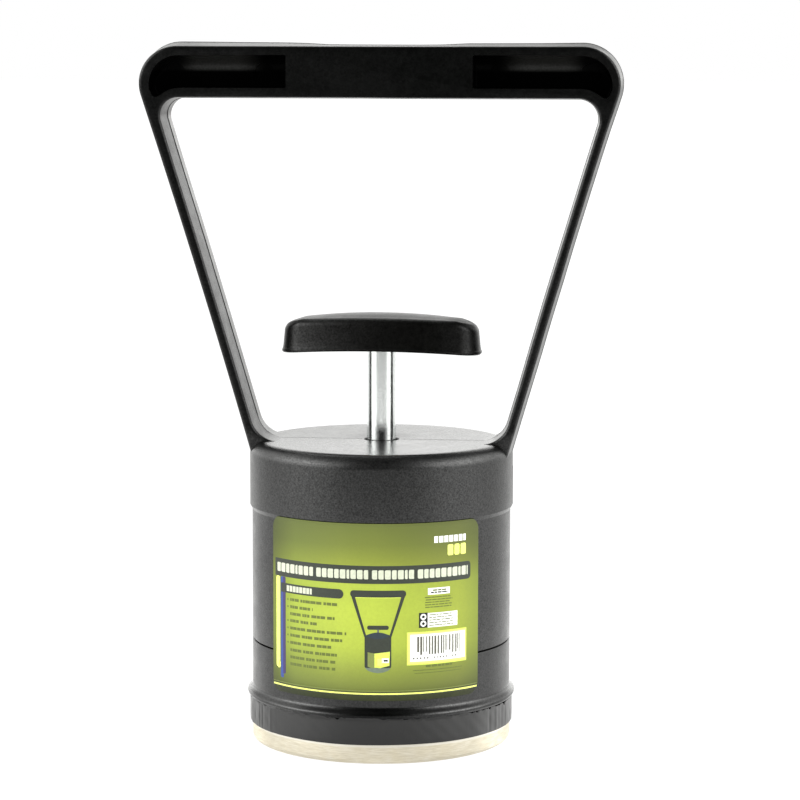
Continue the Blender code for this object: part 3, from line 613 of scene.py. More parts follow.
def solid(name, color, rough, scale=2.0, bump=0.2, vary=0.12, spec=0.5):
    """Non-metal whose colour varies by the share `vary`."""
    mat = Material(name)
    mottle = mat.noise(scale, detail=4.0, rough=0.6)
    dark = tuple(c * (1 - vary) for c in color)
    light = tuple(min(1, c * (1 + vary)) for c in color)
    mat.set(color=mat.mix(mottle.line((0.3, 0.7)), dark, light),
            rough=mottle.line((0.3, 0.7), to=(rough - 0.05, rough + 0.05)),
            normal=mat.bump(mottle, strength=bump, depth=0.01), spec=spec)
    return mat.data


# ------------------------------------------------------------------ label film and inks
# colour up the label: (place from bottom to top, 8-bit sRGB)
LABEL_UP = [(0.00, (40, 46, 34)), (0.036, (58, 65, 42)), (0.052, (124, 136, 64)),
            (0.11, (150, 163, 76)), (0.20, (178, 194, 84)), (0.32, (209, 228, 90)),
            (0.50, (216, 236, 92)), (0.68, (204, 224, 88)), (0.80, (161, 174, 71)),
            (0.90, (133, 145, 66)), (1.00, (121, 132, 66))]
# painted shade round the body: (place from left to right, linear rgb)
LABEL_ROUND = [(0.0, (0.19, 0.20, 0.15)), (0.14, (0.49, 0.51, 0.40)),
               (0.36, (0.655, 0.655, 0.59)), (0.50, (0.64, 0.64, 0.57)),
               (0.66, (0.53, 0.53, 0.47)), (0.88, (0.43, 0.42, 0.34)),
               (1.0, (0.27, 0.28, 0.24))]


def linear(srgb):
    return tuple(((c / 255.0 + 0.055) / 1.055) ** 2.4 for c in srgb)


def label_film():
    """Printed film whose colour follows height, with painted shade by the angle round the
    body.
    """
    mat = Material("label_film")
    x, y, z = mat.position()
    degrees = mat.math('ARCTAN2', x, y * -1.0) * (180.0 / math.pi)
    upward = z.line((13.75, 51.0)).colours([(place, linear(c)) for place, c in LABEL_UP])
    painted_shade_round = degrees.line((-48.0, 53.0)).colours(LABEL_ROUND)
    ink = mat.noise(1.6, detail=5.0, rough=0.7)
    cloud = mat.noise(0.16, detail=3.0, rough=0.5)
    # painted shade: the printed colour is darkened towards the label's left and right ends
    color = mat.mix(1.0, upward, painted_shade_round, 'MULTIPLY')
    color = mat.mix(ink.line((0.3, 0.7), to=(0.16, 0.0)), color, (0.10, 0.12, 0.02))
    color = mat.mix(cloud.line((0.3, 0.7), to=(0.10, 0.0)), color, (0.15, 0.17, 0.03))
    fine = mat.bump(ink, strength=0.15, depth=0.006)
    waves = mat.noise(0.5, detail=3.0, rough=0.5)
    mat.set(color=color, rough=ink.line((0.3, 0.7), to=(0.38, 0.48)), spec=0.30,
            normal=mat.bump(waves, strength=0.25, depth=0.03, under=fine))
    return mat.data


INK_COLORS = {
    "charcoal": (0.036, 0.042, 0.032), "white": (0.90, 0.91, 0.86),
    "pale": (0.56, 0.59, 0.46), "yellow": (0.86, 0.92, 0.20),
    "blue": (0.038, 0.070, 0.26), "purple": (0.052, 0.036, 0.12),
    "text": (0.115, 0.145, 0.030), "lime": (0.66, 0.78, 0.12),
    "olive": (0.20, 0.24, 0.07), "grey": (0.10, 0.12, 0.12),
    "navy": (0.030, 0.042, 0.052), "silver": (0.15, 0.19, 0.14),
    "bars": (0.11, 0.105, 0.085), "black": (0.012, 0.014, 0.012),
}

ABS = housing_plastic()
ABS_LOWER = lower_plastic()
TEE_PLASTIC = tee_plastic()
FILM = shrink_film()
CUP_METAL = cup_metal()
ZINC = zinc_plate()
STEEL = metal("steel_zinc", (0.66, 0.66, 0.63), rough=0.30)
SPRING_WIRE = metal("spring_wire", (0.42, 0.42, 0.41), rough=0.28, scale=3.0)
POT = metal("pot_plate", (0.64, 0.64, 0.62), rough=0.36, scale=1.0)
BRASS = metal("brass_insert", (0.80, 0.60, 0.26), rough=0.30)
FERRITE = solid("ferrite_grey", (0.075, 0.075, 0.080), rough=0.62, scale=4.0, bump=0.5,
                vary=0.2)
NYLON = solid("nylon_natural", (0.78, 0.77, 0.71), rough=0.42)
ACETAL = solid("acetal_natural", (0.30, 0.30, 0.29), rough=0.40)
LABEL_FILM = label_film()
INKS = {name: solid("ink_" + name, color, rough=0.40, scale=1.8, bump=0.12, vary=0.10,
                    spec=0.25)
        for name, color in INK_COLORS.items()}


# ------------------------------------------------------------------ grip
# Tables by side: 1 is the right half (+X), -1 the left.
GRIP_DEPTH = 14.6
GRIP_DRAFT = 0.5                            # inset of the front and back faces
BAR_EDGE_TOP = 151.7                        # height of the bar's long front and back edges
BAR_LOW = {1: 140.6 - 0.06, -1: 140.6}      # underside of the bar
LEG_LEAN = 0.297                            # outward run of a leg's inner edge per mm up
DRAFT_SLANT = 1.04                          # inset across a leaning leg per mm of draft
INNER_CORNER_R = {1: 4.25, -1: 3.6}         # between leg and underside of the bar
LEG_FOOT_R = 6.0                            # between leg and top plate

# outer corners of the bar: centre x, centre z, radius, extra drop at the faces
CORNERS = {1: (43.44, 143.82, 8.75, 0.37), -1: (43.85, 143.95, 8.75, 0.50)}

# height of the bar's crown above the grip's nominal top: (x, mm).
# It sags over the thick middle; the two ends stand a little proud.
CROWN = [(-43.85, 0.30), (-37.0, 0.26), (-32.0, 0.19), (-24.0, 0.14), (-19.5, 0.10),
         (-17.0, 0.02), (-15.0, -0.06), (-12.0, -0.24), (-8.0, -0.29), (0.0, -0.32),
         (8.0, -0.33), (13.0, -0.28), (16.0, -0.14), (18.5, -0.01), (22.0, 0.0),
         (34.0, 0.04), (40.0, 0.12), (43.44, 0.17)]
CROWN_STATIONS = (40.0, 36.0, 31.0, 26.0, 22.5, 21.0, 20.0, 19.0, 18.0, 17.0, 16.0, 15.0,
                  13.5, 12.0, 10.0, 8.0, 4.0)

# small differences between the two legs: (height, mm outwards)
LEG_OUT = {1: [(66.0, 0.22), (84.0, 0.22), (92.0, 0.06), (101.0, 0.0), (110.0, -0.20),
               (118.0, -0.30), (127.0, -0.42), (134.0, -0.50), (145.0, -0.41)],
           -1: [(66.0, 0.0), (145.0, 0.0)]}
LEG_IN = {1: [(66.0, 0.20), (78.0, 0.20), (90.0, 0.0), (98.0, -0.10), (128.0, -0.08),
              (140.0, 0.0)],
          -1: [(66.0, -0.22), (92.0, -0.26), (110.0, -0.22), (118.0, -0.12), (128.0, 0.0),
               (140.0, 0.0)]}


def leg_outer(z):
    t = z - CAP_TOP
    return 29.2 + 0.288 * t + 0.000267 * t * t


def outer_half(draft, edge, wide, side):
    """Outer outline of one half: up the leg, round the corner, in along the bar."""
    t = draft / GRIP_DRAFT
    points = []
    for z in np.linspace(60.0, 138.0, 22):
        soft = smoothstep((z - 66.0) / 5.0)
        inset = (draft + edge + (wide - edge) * soft) * DRAFT_SLANT
        points.append((leg_outer(z) + table(z, LEG_OUT[side]) - inset, z))
    cx, cz, radius, drop = CORNERS[side]
    for k in range(29):
        a = math.radians(-18.2 + 108.2 * k / 28)
        up = max(0.0, math.sin(a)) ** 2
        r = radius - draft - (wide + (edge - wide) * up) - drop * t * up
        x, z = cx + r * math.cos(a), cz + r * math.sin(a)
        if k == 0:
            slip = points[-1][0] + (z - 138.0) * 0.32 - x    # runs on smoothly from the leg
        x += slip * max(0.0, 1.0 - k / 9.0)
        points.append((x, z))
    for x in CROWN_STATIONS:
        crown = GRIP_TOP + table(side * x, CROWN)
        points.append((x, crown + (BAR_EDGE_TOP - crown) * t - edge))
    return points


def inner_half(draft, edge, wide, side):
    """Inner outline of one half: out under the bar, down the leg, into the cap."""
    low = BAR_LOW[side] + 0.16 * (draft / GRIP_DRAFT) + 0.75 * edge
    radius = INNER_CORNER_R[side] + 0.7 * draft + edge
    slope = math.sin(math.atan2(1.0, LEG_LEAN))
    lean = math.degrees(math.atan(LEG_LEAN))

    def leg_inner(z):
        return 6.60 + LEG_LEAN * z + table(z, LEG_IN[side]) + (draft + wide) / slope

    points = [(x, low) for x in (4.0, 12.0, 20.0, 30.0, 36.0)]
    cz = low - radius
    points += arc(leg_inner(cz) - radius / slope, cz, radius, 90.0, -lean, 18)
    points += [(leg_inner(z), z) for z in np.linspace(130.0, 74.0, 16)]
    foot_z = CAP_TOP + LEG_FOOT_R
    foot_x = leg_inner(foot_z) - LEG_FOOT_R / slope
    points += arc(foot_x, foot_z, LEG_FOOT_R, -lean, -85.0, 16)
    root = leg_outer(60.0) - (draft + edge) * DRAFT_SLANT - 0.45
    return points + [(foot_x - 0.6, CAP_TOP - 0.9), (root - 1.2, 63.9), (root, 63.5),
                     (root, 60.0)]


def grip_outline(draft, edge):
    """Whole outline, inset by its draft and its edge rounding, more on the legs."""
    wide = edge * (2.3 if edge > 0 else 1.0)
    outer = {side: outer_half(draft, edge, wide, side) for side in (1, -1)}
    inner = {side: inner_half(draft, edge, wide, side) for side in (1, -1)}
    return (outer[1] + [(-x, z) for x, z in reversed(outer[-1])]
            + [(-x, z) for x, z in reversed(inner[-1])] + inner[1])


def grip_bm():
    half = GRIP_DEPTH / 2
    edge_across, edge_deep = 0.36, 0.62     # rounding of the front and back edges
    steps = []                              # (y, draft, edge inset), from a face to the middle
    for angle in (90, 76, 62, 48, 34, 20, 8, 0):
        s, c = math.sin(math.radians(angle)), math.cos(math.radians(angle))
        y = half - edge_deep * (1 - s)
        steps.append((y, GRIP_DRAFT * y / half, edge_across * (1 - c)))
    steps += [(y, GRIP_DRAFT * y / half, 0.0) for y in (4.6, 2.2)]
    # the last steps raise the parting line
    steps += [(0.24, 0.014, 0.0), (0.13, 0.008, 0.0), (0.0, 0.0, -0.075)]
    levels = [(-y, grip_outline(draft, edge)) for y, draft, edge in steps]
    levels += [(y, grip_outline(draft, edge)) for y, draft, edge in reversed(steps[:-1])]
    bm = bmesh.new()
    stack_y(bm, levels)
    return bm


POCKET_LEFT, POCKET_RIGHT = 20.1, 50.0      # x of the right-hand pockets' ends
POCKET_LOW, POCKET_TOP = 142.8, 149.9
POCKET_FLOOR = 1.25                         # y of the floor
POCKET_Y = (7.8, 7.3, 4.3, 3.8, 3.3, 2.8, 2.45, 2.15, 1.95, 1.8, 1.66, 1.53, 1.42, 1.34,
            1.28, POCKET_FLOOR)


def pocket_outline(shrink, top_shrink):
    """Pocket outline, shrunk all round and by its own amount along the upper edge."""
    left, low = POCKET_LEFT + shrink, POCKET_LOW + shrink
    top = POCKET_TOP - top_shrink
    points = [(left + 0.25, low), (left, low + 0.25), (left, top - 0.25), (left + 0.25, top)]
    points += [(x, top) for x in (24.0, 30.0, 36.0, 40.0)]
    for k in range(19):
        a = math.radians(90.0 - 98.0 * k / 18)
        r = (POCKET_RIGHT - POCKET_CORNER_X - shrink
             - (top_shrink - shrink) * max(0.0, math.sin(a)) ** 2)
        points.append((POCKET_CORNER_X + r * math.cos(a), POCKET_CORNER_Z + r * math.sin(a)))
    # the outer end hangs below the rest of the pocket
    points += [(49.62 - shrink, 141.9), (49.35 - shrink, 141.2),
               (48.9 - shrink, 140.86 + shrink * 0.4),
               (48.4 - shrink * 0.5, 140.78 + shrink * 0.8),
               (47.9 - shrink * 0.3, 140.95 + shrink)]
    points += [(x, z + shrink) for x, z in ((47.2, 141.40), (46.4, 141.95), (45.4, 142.42),
                                            (44.4, 142.68), (43.0, POCKET_LOW),
                                            (36.0, POCKET_LOW), (28.0, POCKET_LOW))]
    return points


def pocket_levels():
    """(y, shrink, top shrink): a small fillet all round, a wide cove at the upper edge."""
    def cove(y, radius):
        t = (y - POCKET_FLOOR) / radius
        return 0.0 if t >= 1 else radius * (1 - math.sqrt(max(0.0, 1 - (1 - t) ** 2)))
    levels = []
    for y in POCKET_Y:
        draft = 0.20 * (7.8 - y) / 6.5
        levels.append((y, draft + cove(y, 0.5), draft + cove(y, 3.1)))
    return levels


# ------------------------------------------------------------------ housing pieces
BODY_SEGMENTS = 256


def housing_profile():
    """(radius, height, corner rounding) of the cap and body, outside then inside."""
    edge_r = CAP_R - CAP_EDGE_R
    edge_z = CAP_TOP - CAP_EDGE_R
    return [
        (ROD_HOLE_R, CAP_TOP, 0.30), (12.0, CAP_TOP), (20.0, CAP_TOP),
        *reversed(arc(edge_r, edge_z, CAP_EDGE_R, 0, 90, 20)),
        (CAP_R, 58.0), (CAP_R, STEP_TOP, 0.35), (BODY_R, STEP_LOW, 0.35),
        (BODY_R, 40.0), (BODY_R, 30.0), (BODY_R, SEAM_HIGH, 0.18),
        (26.3, SEAM_HIGH, 0.2), (26.3, 61.9, 0.6), (24.8, 63.4, 0.6), (9.2, 63.4, 0.5),
        (8.4, 62.6, 0.3), (8.4, 59.1, 0.25), (5.3, 59.1, 0.25), (5.3, 63.3, 0.1),
        (ROD_HOLE_R, 63.3, 0.1)]


def parting_ridges():
    """Fine ridges across the top plate and down the cap's left and right sides."""
    foot, crest = 0.22, 0.03                # half widths
    plate_top = CAP_TOP + 0.022
    side_r = CAP_R + 0.06
    plate = ((-foot, 66.0), (foot, 66.0), (crest, plate_top), (-crest, plate_top))
    flank = ((28.6, -foot), (28.6, foot), (side_r, crest), (side_r, -crest))
    bm = bmesh.new()
    for side in (-1, 1):
        tube(bm, [[(side * x, y, z) for y, z in plate] for x in (4.25, 23.2)])
        tube(bm, [[(side * x, y, z) for x, y in flank] for z in (52.3, 60.8)])
    return bm


def pockets():
    bm = bmesh.new()
    for side in (-1, 1):
        for face in (-1, 1):
            stack_y(bm, [(face * y, [(side * x, z) for x, z in pocket_outline(shrink, top)])
                         for y, shrink, top in pocket_levels()])
    return bm


def floor_discs():
    """Shallow round recesses in the pocket floors."""
    radius, height = 2.15, 146.15
    bm = bmesh.new()
    for side in (-1, 1):
        for face in (-1, 1):
            for centre in (45.2, 25.6):
                tube(bm, [[(side * (centre + radius * math.cos(t)), face * y,
                            height + radius * math.sin(t))
                           for t in np.linspace(0, 2 * math.pi, 40, endpoint=False)]
                          for y in (1.10, 2.4)])
    return bm


def build_housing():
    ob = lathe("handle_housing_shell", housing_profile(), ABS, BODY_SEGMENTS)
    boolean(ob, grip_bm(), 'UNION')
    boolean(ob, parting_ridges(), 'UNION')
    boolean(ob, pockets(), 'DIFFERENCE')
    boolean(ob, floor_discs(), 'DIFFERENCE')
    tidy(ob, sharp=28.0)
    register(ob, "housing", "handle_housing")


# rolled lip of the lower housing, downwards: (radius, height)
LIP_MID = 10.60
LIP = [(28.395, 12.35), (28.41, 12.15), (28.49, 11.95), (28.64, 11.73), (28.86, 11.50),
       (29.12, 11.27), (29.35, 11.05), (29.48, 10.83), (LIP_R, LIP_MID), (29.47, 10.37),
       (29.36, 10.17), (29.22, 10.0), (29.07, 9.86), (28.88, 9.72)]
LIP_LOW = LIP[-1][1]
LIP_UNDER = [(z, r) for r, z in reversed(LIP) if z <= LIP_MID]  # (height, radius), upwards


def build_lower():
    # (radius, height, corner rounding)
    profile = [
        (26.0, SEAM_LOW, 0.15), (BODY_R, SEAM_LOW, 0.18), (BODY_R, 18.0), (BODY_R, 12.6),
        *LIP,
        (28.57, 9.45), (28.56, 8.3, 0.05), (28.45, 8.2, 0.03), (28.45, 9.9, 0.05),
        (27.4, 9.9, 0.2), (27.4, 3.0, 0.2), (26.6, 2.2, 0.2), (25.0, 2.2, 0.3),
        (25.0, 28.0, 0.2), (25.5, 28.0, 0.2), (26.0, 27.2, 0.2)]
    ob = lathe("lower_housing_shell", profile, ABS_LOWER, BODY_SEGMENTS)
    register(ob, "housing", "lower_housing")


def build_cup():
    # (radius, height, corner rounding)
    profile = [(0.0, 0.0), (18.0, 0.0), (CUP_R, 0.0, 1.0), (CUP_R, 3.9), (CUP_R, 9.6, 0.2),
               (27.7, 9.6, 0.2), (27.7, 0.7, 0.6), (0.0, 0.7)]
    ob = lathe("base_cup_shell", profile, CUP_METAL, BODY_SEGMENTS, corner_steps=8)
    register(ob, "housing", "base_cup")


# ------------------------------------------------------------------ joint band
# Angles run in degrees round the body: 0 at the front, positive to the right.
BAND_COLUMNS, BAND_ROWS = 900, 15
BAND_R = 28.99
BAND_BACK_R = 28.62                         # inner side of the film

# waves of the torn upper edge: (height, count round the body, phase)
EDGE_WAVES = [(0.07, 3, 0.4), (0.05, 9, 1.1), (0.045, 17, 2.0), (0.035, 31, 0.3),
              (0.03, 53, 4.0), (0.02, 97, 1.0)]
# nicks in it: (angle, half width in degrees, depth)
EDGE_NICKS = [(-54, 1.6, 0.25), (-60, 1.2, 0.20), (-43, 1.0, 0.2), (-9.5, 0.8, 0.25),
              (15.5, 0.7, 0.2), (60.2, 0.9, 0.50), (73.8, 1.0, 0.35), (66.0, 2.5, 0.18),
              (48.0, 1.2, 0.20), (82.0, 1.5, 0.25)]
# upright creases: (angle, half width in degrees, height outwards)
CREASES = [(-71, 2.2, 0.16), (-66, 1.5, -0.13), (-61, 1.3, 0.12), (-56.5, 1.2, -0.10),
           (-50, 1.6, 0.07), (60, 1.6, -0.10), (65.5, 1.7, 0.14), (71, 1.6, -0.12),
           (76.5, 1.8, 0.15), (83, 2.0, -0.10)]


def near_marks(deg, marks):
    """(distance from the mark as a share of its half width, size) of each mark near deg."""
    for centre, half_width, size in marks:
        t = abs((deg - centre + 180.0) % 360.0 - 180.0) / half_width
        if t < 1:
            yield t, size


def ragged_top(deg, nicks):
    """Height of the film's torn upper edge."""
    z = 10.02 + 0.30 * math.exp(-((deg + 20) / 26.0) ** 2)
    z -= 0.22 * smoothstep((deg - 34.0) / 44.0) * (1 - smoothstep((deg - 110.0) / 40.0))
    for height, count, phase in EDGE_WAVES:
        z += height * math.sin(math.radians(deg) * count + phase)
    for t, depth in near_marks(deg, nicks):
        z -= depth * (1 - t ** 1.6)
    return z


def over_lip(r, z, gap):
    """Radius kept clear of the lip's lower half."""
    return max(r, table(z, LIP_UNDER) + gap) if z > LIP_LOW else r


def band_section(deg, nicks, creases):
    """Closed (r, z) section of the film: up its outside, then down its inside."""
    top = ragged_top(deg, nicks)
    low = (BAND_LOW + 0.05 * math.sin(math.radians(deg) * 2 + 0.6)
           + 0.03 * math.sin(math.radians(deg) * 7))
    crease = sum(size * (1 - t) ** 1.2 for t, size in near_marks(deg, creases))
    section = []
    for j in range(BAND_ROWS):
        f = j / (BAND_ROWS - 1)
        z = low + (top - low) * f
        r = over_lip(BAND_R - 0.05 * smoothstep((5.0 - z) / 0.7), z, 0.045)
        r += crease * (0.35 + 0.65 * math.sin(math.pi * min(1.0, f * 1.02)) ** 0.8)
        r += 0.012 * math.sin(deg * 0.9 + z * 2.0)
        section.append((r, z))
    edge_r, edge_z = section[-1]
    section.append((max(edge_r - 0.03, table(edge_z, LIP_UNDER) + 0.012), edge_z + 0.02))
    for below in (0.15, 0.35, 0.55):
        z = edge_z - below
        section.append((over_lip(28.90, z, 0.012), z))
    section += [(BAND_BACK_R, min(9.0, edge_z - 0.9)), (BAND_BACK_R, low + 0.05),
                (28.72, low)]
    return section


def build_band():
    rng = random.Random(11)
    nicks = [(rng.uniform(-180, 180), rng.uniform(0.7, 2.2), rng.uniform(0.12, 0.38))
             for _ in range(58)] + EDGE_NICKS
    creases = CREASES + [(rng.uniform(95, 262), rng.uniform(1.2, 3.0),
                          rng.uniform(-0.12, 0.12)) for _ in range(26)]
    bm = bmesh.new()
    columns = []
    for k in range(BAND_COLUMNS):
        deg = -180.0 + 360.0 * k / BAND_COLUMNS
        columns.append([bm.verts.new(polar(r, deg, z))
                        for r, z in band_section(deg, nicks, creases)])
    skin(bm, columns + columns[:1], flip=True)
    ob = commit("joint_band_film", bm, [FILM], sharp=40.0)
    register(ob, "housing", "joint_band")


# ------------------------------------------------------------------ label
LABEL_LEFT, LABEL_RIGHT = -48.2, 52.2       # degrees
LABEL_LOW, LABEL_TOP = 13.85, 51.88
LABEL_CORNER_R = 2.5
LABEL_R = 28.68
LABEL_BACK_R = 28.47


def polar(r, deg, z):
    a = math.radians(deg - 90.0)
    return (r * math.cos(a), r * math.sin(a), z)


def label_r(z):
    """Radius of the label's surface, which flares at the body's step."""
    return LABEL_R + max(0.0, z - 51.22) * 0.42


def label_section(low, high):
    """Closed (r, z) section of the film between two heights."""
    bend = min(high, 51.05)

    def flare(j):
        return bend + (high - bend) * j / 6

    section = [(LABEL_BACK_R, low), (28.64, low), (LABEL_R, low + 0.05)]
    section += [(LABEL_R, low + 0.05 + (bend - low - 0.1) * j / 12) for j in range(1, 12)]
    section += [(label_r(flare(j)), flare(j)) for j in range(7)]
    section += [(label_r(high) - 0.015, high + 0.012), (label_r(high) - 0.07, high + 0.01)]
    section += [(label_r(flare(j)) - 0.13, flare(j) - 0.02) for j in (5, 3, 1)]
    return section + [(LABEL_BACK_R, bend - 0.45)]


def build_label():
    corner_deg = math.degrees(LABEL_CORNER_R / BODY_R)
    angles = set(np.round(np.linspace(LABEL_LEFT + corner_deg, LABEL_RIGHT - corner_deg,
                                      100), 5))
    for f in np.linspace(0, 1, 12):
        g = 1 - math.cos(f * math.pi / 2)
        angles.add(round(LABEL_LEFT + corner_deg * g, 5))
        angles.add(round(LABEL_RIGHT - corner_deg * g, 5))
    bm = bmesh.new()
    columns = []
    for deg in sorted(angles):
        f = min(1.0, min(deg - LABEL_LEFT, LABEL_RIGHT - deg) / corner_deg)
        trim = LABEL_CORNER_R * (1 - math.sqrt(max(0.0, 1 - (1 - f) ** 2)))
        columns.append([bm.verts.new(polar(r, deg, z))
                        for r, z in label_section(LABEL_LOW + trim, LABEL_TOP - trim)])
    skin(bm, columns, flip=True)
    bm.faces.new(columns[0])
    bm.faces.new(list(reversed(columns[-1])))
    ob = commit("front_label_film", bm, [LABEL_FILM], sharp=40.0)
    register(ob, "housing", "front_label")


# ------------------------------------------------------------------ label print
# Flat shapes on the label.  Each is given by its ink, then its left and right edges in
# degrees, its bottom and top in mm, and last the layer it stands on.
MM_PER_DEG = math.pi / 180 * 28.7
PRINT_BACK_R, PRINT_R, LAYER_STEP = 28.667, 28.705, 0.012
PRINT = {}                                  # ink: list of (columns, layer)
PRINT_RNG = random.Random(5)


def slice_columns(outline):
    """Slice a convex (degrees, z) outline into columns no wider than a degree."""
    a0, a1 = min(p[0] for p in outline), max(p[0] for p in outline)
    n = max(1, math.ceil((a1 - a0) / 1.0))
    cuts = {round(a0 + (a1 - a0) * k / n, 6) for k in range(n + 1)}
    cuts |= {round(p[0], 6) for p in outline}
    columns = []
    for c in sorted(cuts):
        heights = [z for a, z in outline if abs(a - c) < 1e-6]
        for (pa, pz), (qa, qz) in zip(outline, outline[1:] + outline[:1]):
            if abs(pa - qa) > 1e-9 and min(pa, qa) - 1e-9 <= c <= max(pa, qa) + 1e-9:
                heights.append(pz + (qz - pz) * (c - pa) / (qa - pa))
        low, high = min(heights), max(heights)
        if high - low < 0.03:
            low, high = (low + high) / 2 - 0.015, (low + high) / 2 + 0.015
        columns.append((c, low, high))
    return columns


def patch(ink, outline, layer=0):
    PRINT.setdefault(ink, []).append((slice_columns(outline), layer))


def rect(ink, a0, a1, z0, z1, layer=0):
    patch(ink, [(a0, z0), (a1, z0), (a1, z1), (a0, z1)], layer)


def round_rect(ink, a0, a1, z0, z1, left, right, layer=0, steps=6):
    """Rectangle with rounded ends; left and right are corner radii."""
    points = []
    for a, r, start, z in ((a0, left, 180, z0), (a1, right, 270, z0), (a1, right, 0, z1),
                           (a0, left, 90, z1)):
        if r <= 0:
            points.append((a, z))
            continue
        ca = a + r / MM_PER_DEG * (1 if a == a0 else -1)
        cz = z + r * (1 if z == z0 else -1)
        for j in range(steps + 1):
            t = math.radians(start + 90.0 * j / steps)
            points.append((ca + r / MM_PER_DEG * math.cos(t), cz + r * math.sin(t)))
    patch(ink, points, layer)


def disc(ink, a, z, r, layer=0):
    turns = [2 * math.pi * i / 20 for i in range(20)]
    patch(ink, [(a + r / MM_PER_DEG * math.cos(t), z + r * math.sin(t)) for t in turns],
          layer)


def blocks(ink, a0, a1, z0, z1, width, gap, layer=0, run=99, space=0.8):
    """A row of plain blocks standing in for a line of print.

    Widths and gaps are drawn from their ranges; a wider space may follow each run.
    """
    a, count = a0, 0
    while a < a1 - 0.25:
        block = min(PRINT_RNG.uniform(*width), a1 - a)
        rect(ink, a, a + block, z0, z1, layer)
        a += block + PRINT_RNG.uniform(*gap)
        count += 1
        if count >= run and PRINT_RNG.random() > 0.35:
            a += space
            count = 0


def print_banner():
    """Charcoal bar with a row of pale blocks."""
    round_rect("charcoal", -46.4, 47.4, 39.05, 42.88, left=0.0, right=0.8)
    widths = (2.2, 2.5, 2.0, 2.5, 1.2, 2.3, 2.4, 1.9, 2.2)
    a, i = -44.9, 0
    while a < 45.4:
        width = min(widths[i % 9], 45.6 - a)
        round_rect("pale", a, a + width, 40.02, 41.98, left=0.30, right=0.16, layer=1, steps=3)
        a += width + 0.50
        i += 1
        if i in (8, 17, 24):
            a += 1.1


def print_left():
    """Stripes at the left edge, a tag and the lines of print beside them."""
    round_rect("yellow", -45.7, -43.25, 19.2, 39.0, left=0.45, right=0.45)
    round_rect("yellow", -44.9, -42.95, 19.0, 20.5, left=0.45, right=0.45)
    round_rect("blue", -42.75, -40.9, 17.0, 39.0, left=0.42, right=0.25)
    round_rect("purple", -41.2, -39.65, 17.9, 39.0, left=0.0, right=0.3, layer=1)
    round_rect("charcoal", -42.4, -10.3, 35.66, 37.68, left=0.0, right=0.98, layer=2)
    blocks("pale", -38.8, -25.0, 36.02, 37.28, width=(1.3, 1.6), gap=(0.30, 0.36), layer=3)
    # bottom and right end of each line
    for z, end in ((34.00, -12.6), (32.45, -24.6), (30.95, -14.2), (29.45, -22.6),
                   (27.85, -9.0), (26.30, -10.8), (24.70, -15.8), (23.10, -13.2),
                   (21.55, -13.6), (20.05, -13.9)):
        blocks("text", -36.8, end, z, z + 0.62, width=(0.8, 2.6), gap=(0.22, 0.34), run=3,
               space=0.7)
    for z in (34.30, 32.75, 29.75, 28.15, 26.60, 25.00):
        disc("text", -38.2, z, r=0.21)


def print_pictogram():
    """Small picture of the tool itself."""
    round_rect("charcoal", -7.3, 16.5, 36.10, 37.62, left=0.7, right=0.7)
    # the two legs: (inward direction, outer top, inner foot)
    for inward, top, foot in ((1, -7.0, -1.2), (-1, 16.2, 10.2)):
        patch("charcoal", [(top, 36.6), (top + inward * 1.75, 36.2),
                           (foot + inward * 0.95, 27.6), (foot, 27.6)])
    rect("lime", -5.0, 14.2, 36.02, 36.14, 1)
    round_rect("charcoal", 0.0, 9.1, 29.22, 30.12, left=0.42, right=0.42)
    rect("grey", 4.25, 5.0, 28.3, 29.3)
    upper = [(-1.1 + 11.3 * i / 12, 27.9 + 0.75 * math.sin(math.pi * i / 12))
             for i in range(13)]
    lower = [(10.2 - 11.3 * i / 12, 27.9 - 0.65 * math.sin(math.pi * i / 12))
             for i in range(1, 12)]
    patch("navy", upper + lower, 1)
    patch("charcoal", [(-1.1, 27.9), (-1.1, 21.2), (0.4, 20.5), (2.4, 20.15), (4.6, 20.0),
                       (6.8, 20.15), (8.8, 20.5), (10.2, 21.2), (10.2, 27.9)])
    patch("olive", [(0.2, 24.4), (0.2, 21.3), (2.2, 20.9), (3.4, 20.8), (3.4, 24.1),
                    (2.0, 24.2)], 1)
    patch("lime", [(3.1, 24.1), (3.1, 21.1), (5.5, 21.0), (9.4, 21.5), (9.6, 24.5)], 2)
    patch("yellow", [(4.3, 23.0), (4.3, 21.6), (6.5, 21.5), (6.5, 23.0)], 3)
    rect("white", 6.2, 9.2, 22.1, 23.1, 3)
    rect("charcoal", 7.0, 8.7, 22.4, 22.8, 4)
    patch("silver", [(-0.9, 21.0), (0.4, 20.4), (2.4, 20.05), (4.6, 19.9), (6.8, 20.05),
                     (8.8, 20.4), (10.0, 21.0)], 2)


def print_right():
    """Small print and the symbol box."""
    draw = PRINT_RNG.uniform
    rect("white", 26.1, 36.4, 36.42, 37.84)
    blocks("text", 28.3, 34.6, 37.18, 37.50, width=(1.0, 2.2), gap=(0.25, 0.35), layer=1)
    blocks("charcoal", 27.4, 35.6, 36.72, 37.02, width=(1.0, 2.6), gap=(0.25, 0.35), layer=1)
    for z in (35.75, 35.22, 34.69, 34.16, 33.63):
        blocks("text", 24.5 + draw(0, 0.8), 37.9 - draw(0, 1.2), z, z + 0.22,
               width=(0.9, 3.2), gap=(0.22, 0.34))
    rect("black", 22.1, 26.0, 29.40, 32.62)
    for z in (31.75, 30.30):
        disc("white", 24.05, z, r=0.66, layer=1)
        disc("black", 24.05, z, r=0.32, layer=2)
    rect("white", 26.0, 40.3, 29.40, 32.50)
    for z in (31.98, 31.42, 30.86, 30.30, 29.74):
        blocks("text", 26.7, 39.8 - draw(0, 2.0), z, z + 0.20, width=(0.9, 3.0),
               gap=(0.22, 0.36), layer=1)


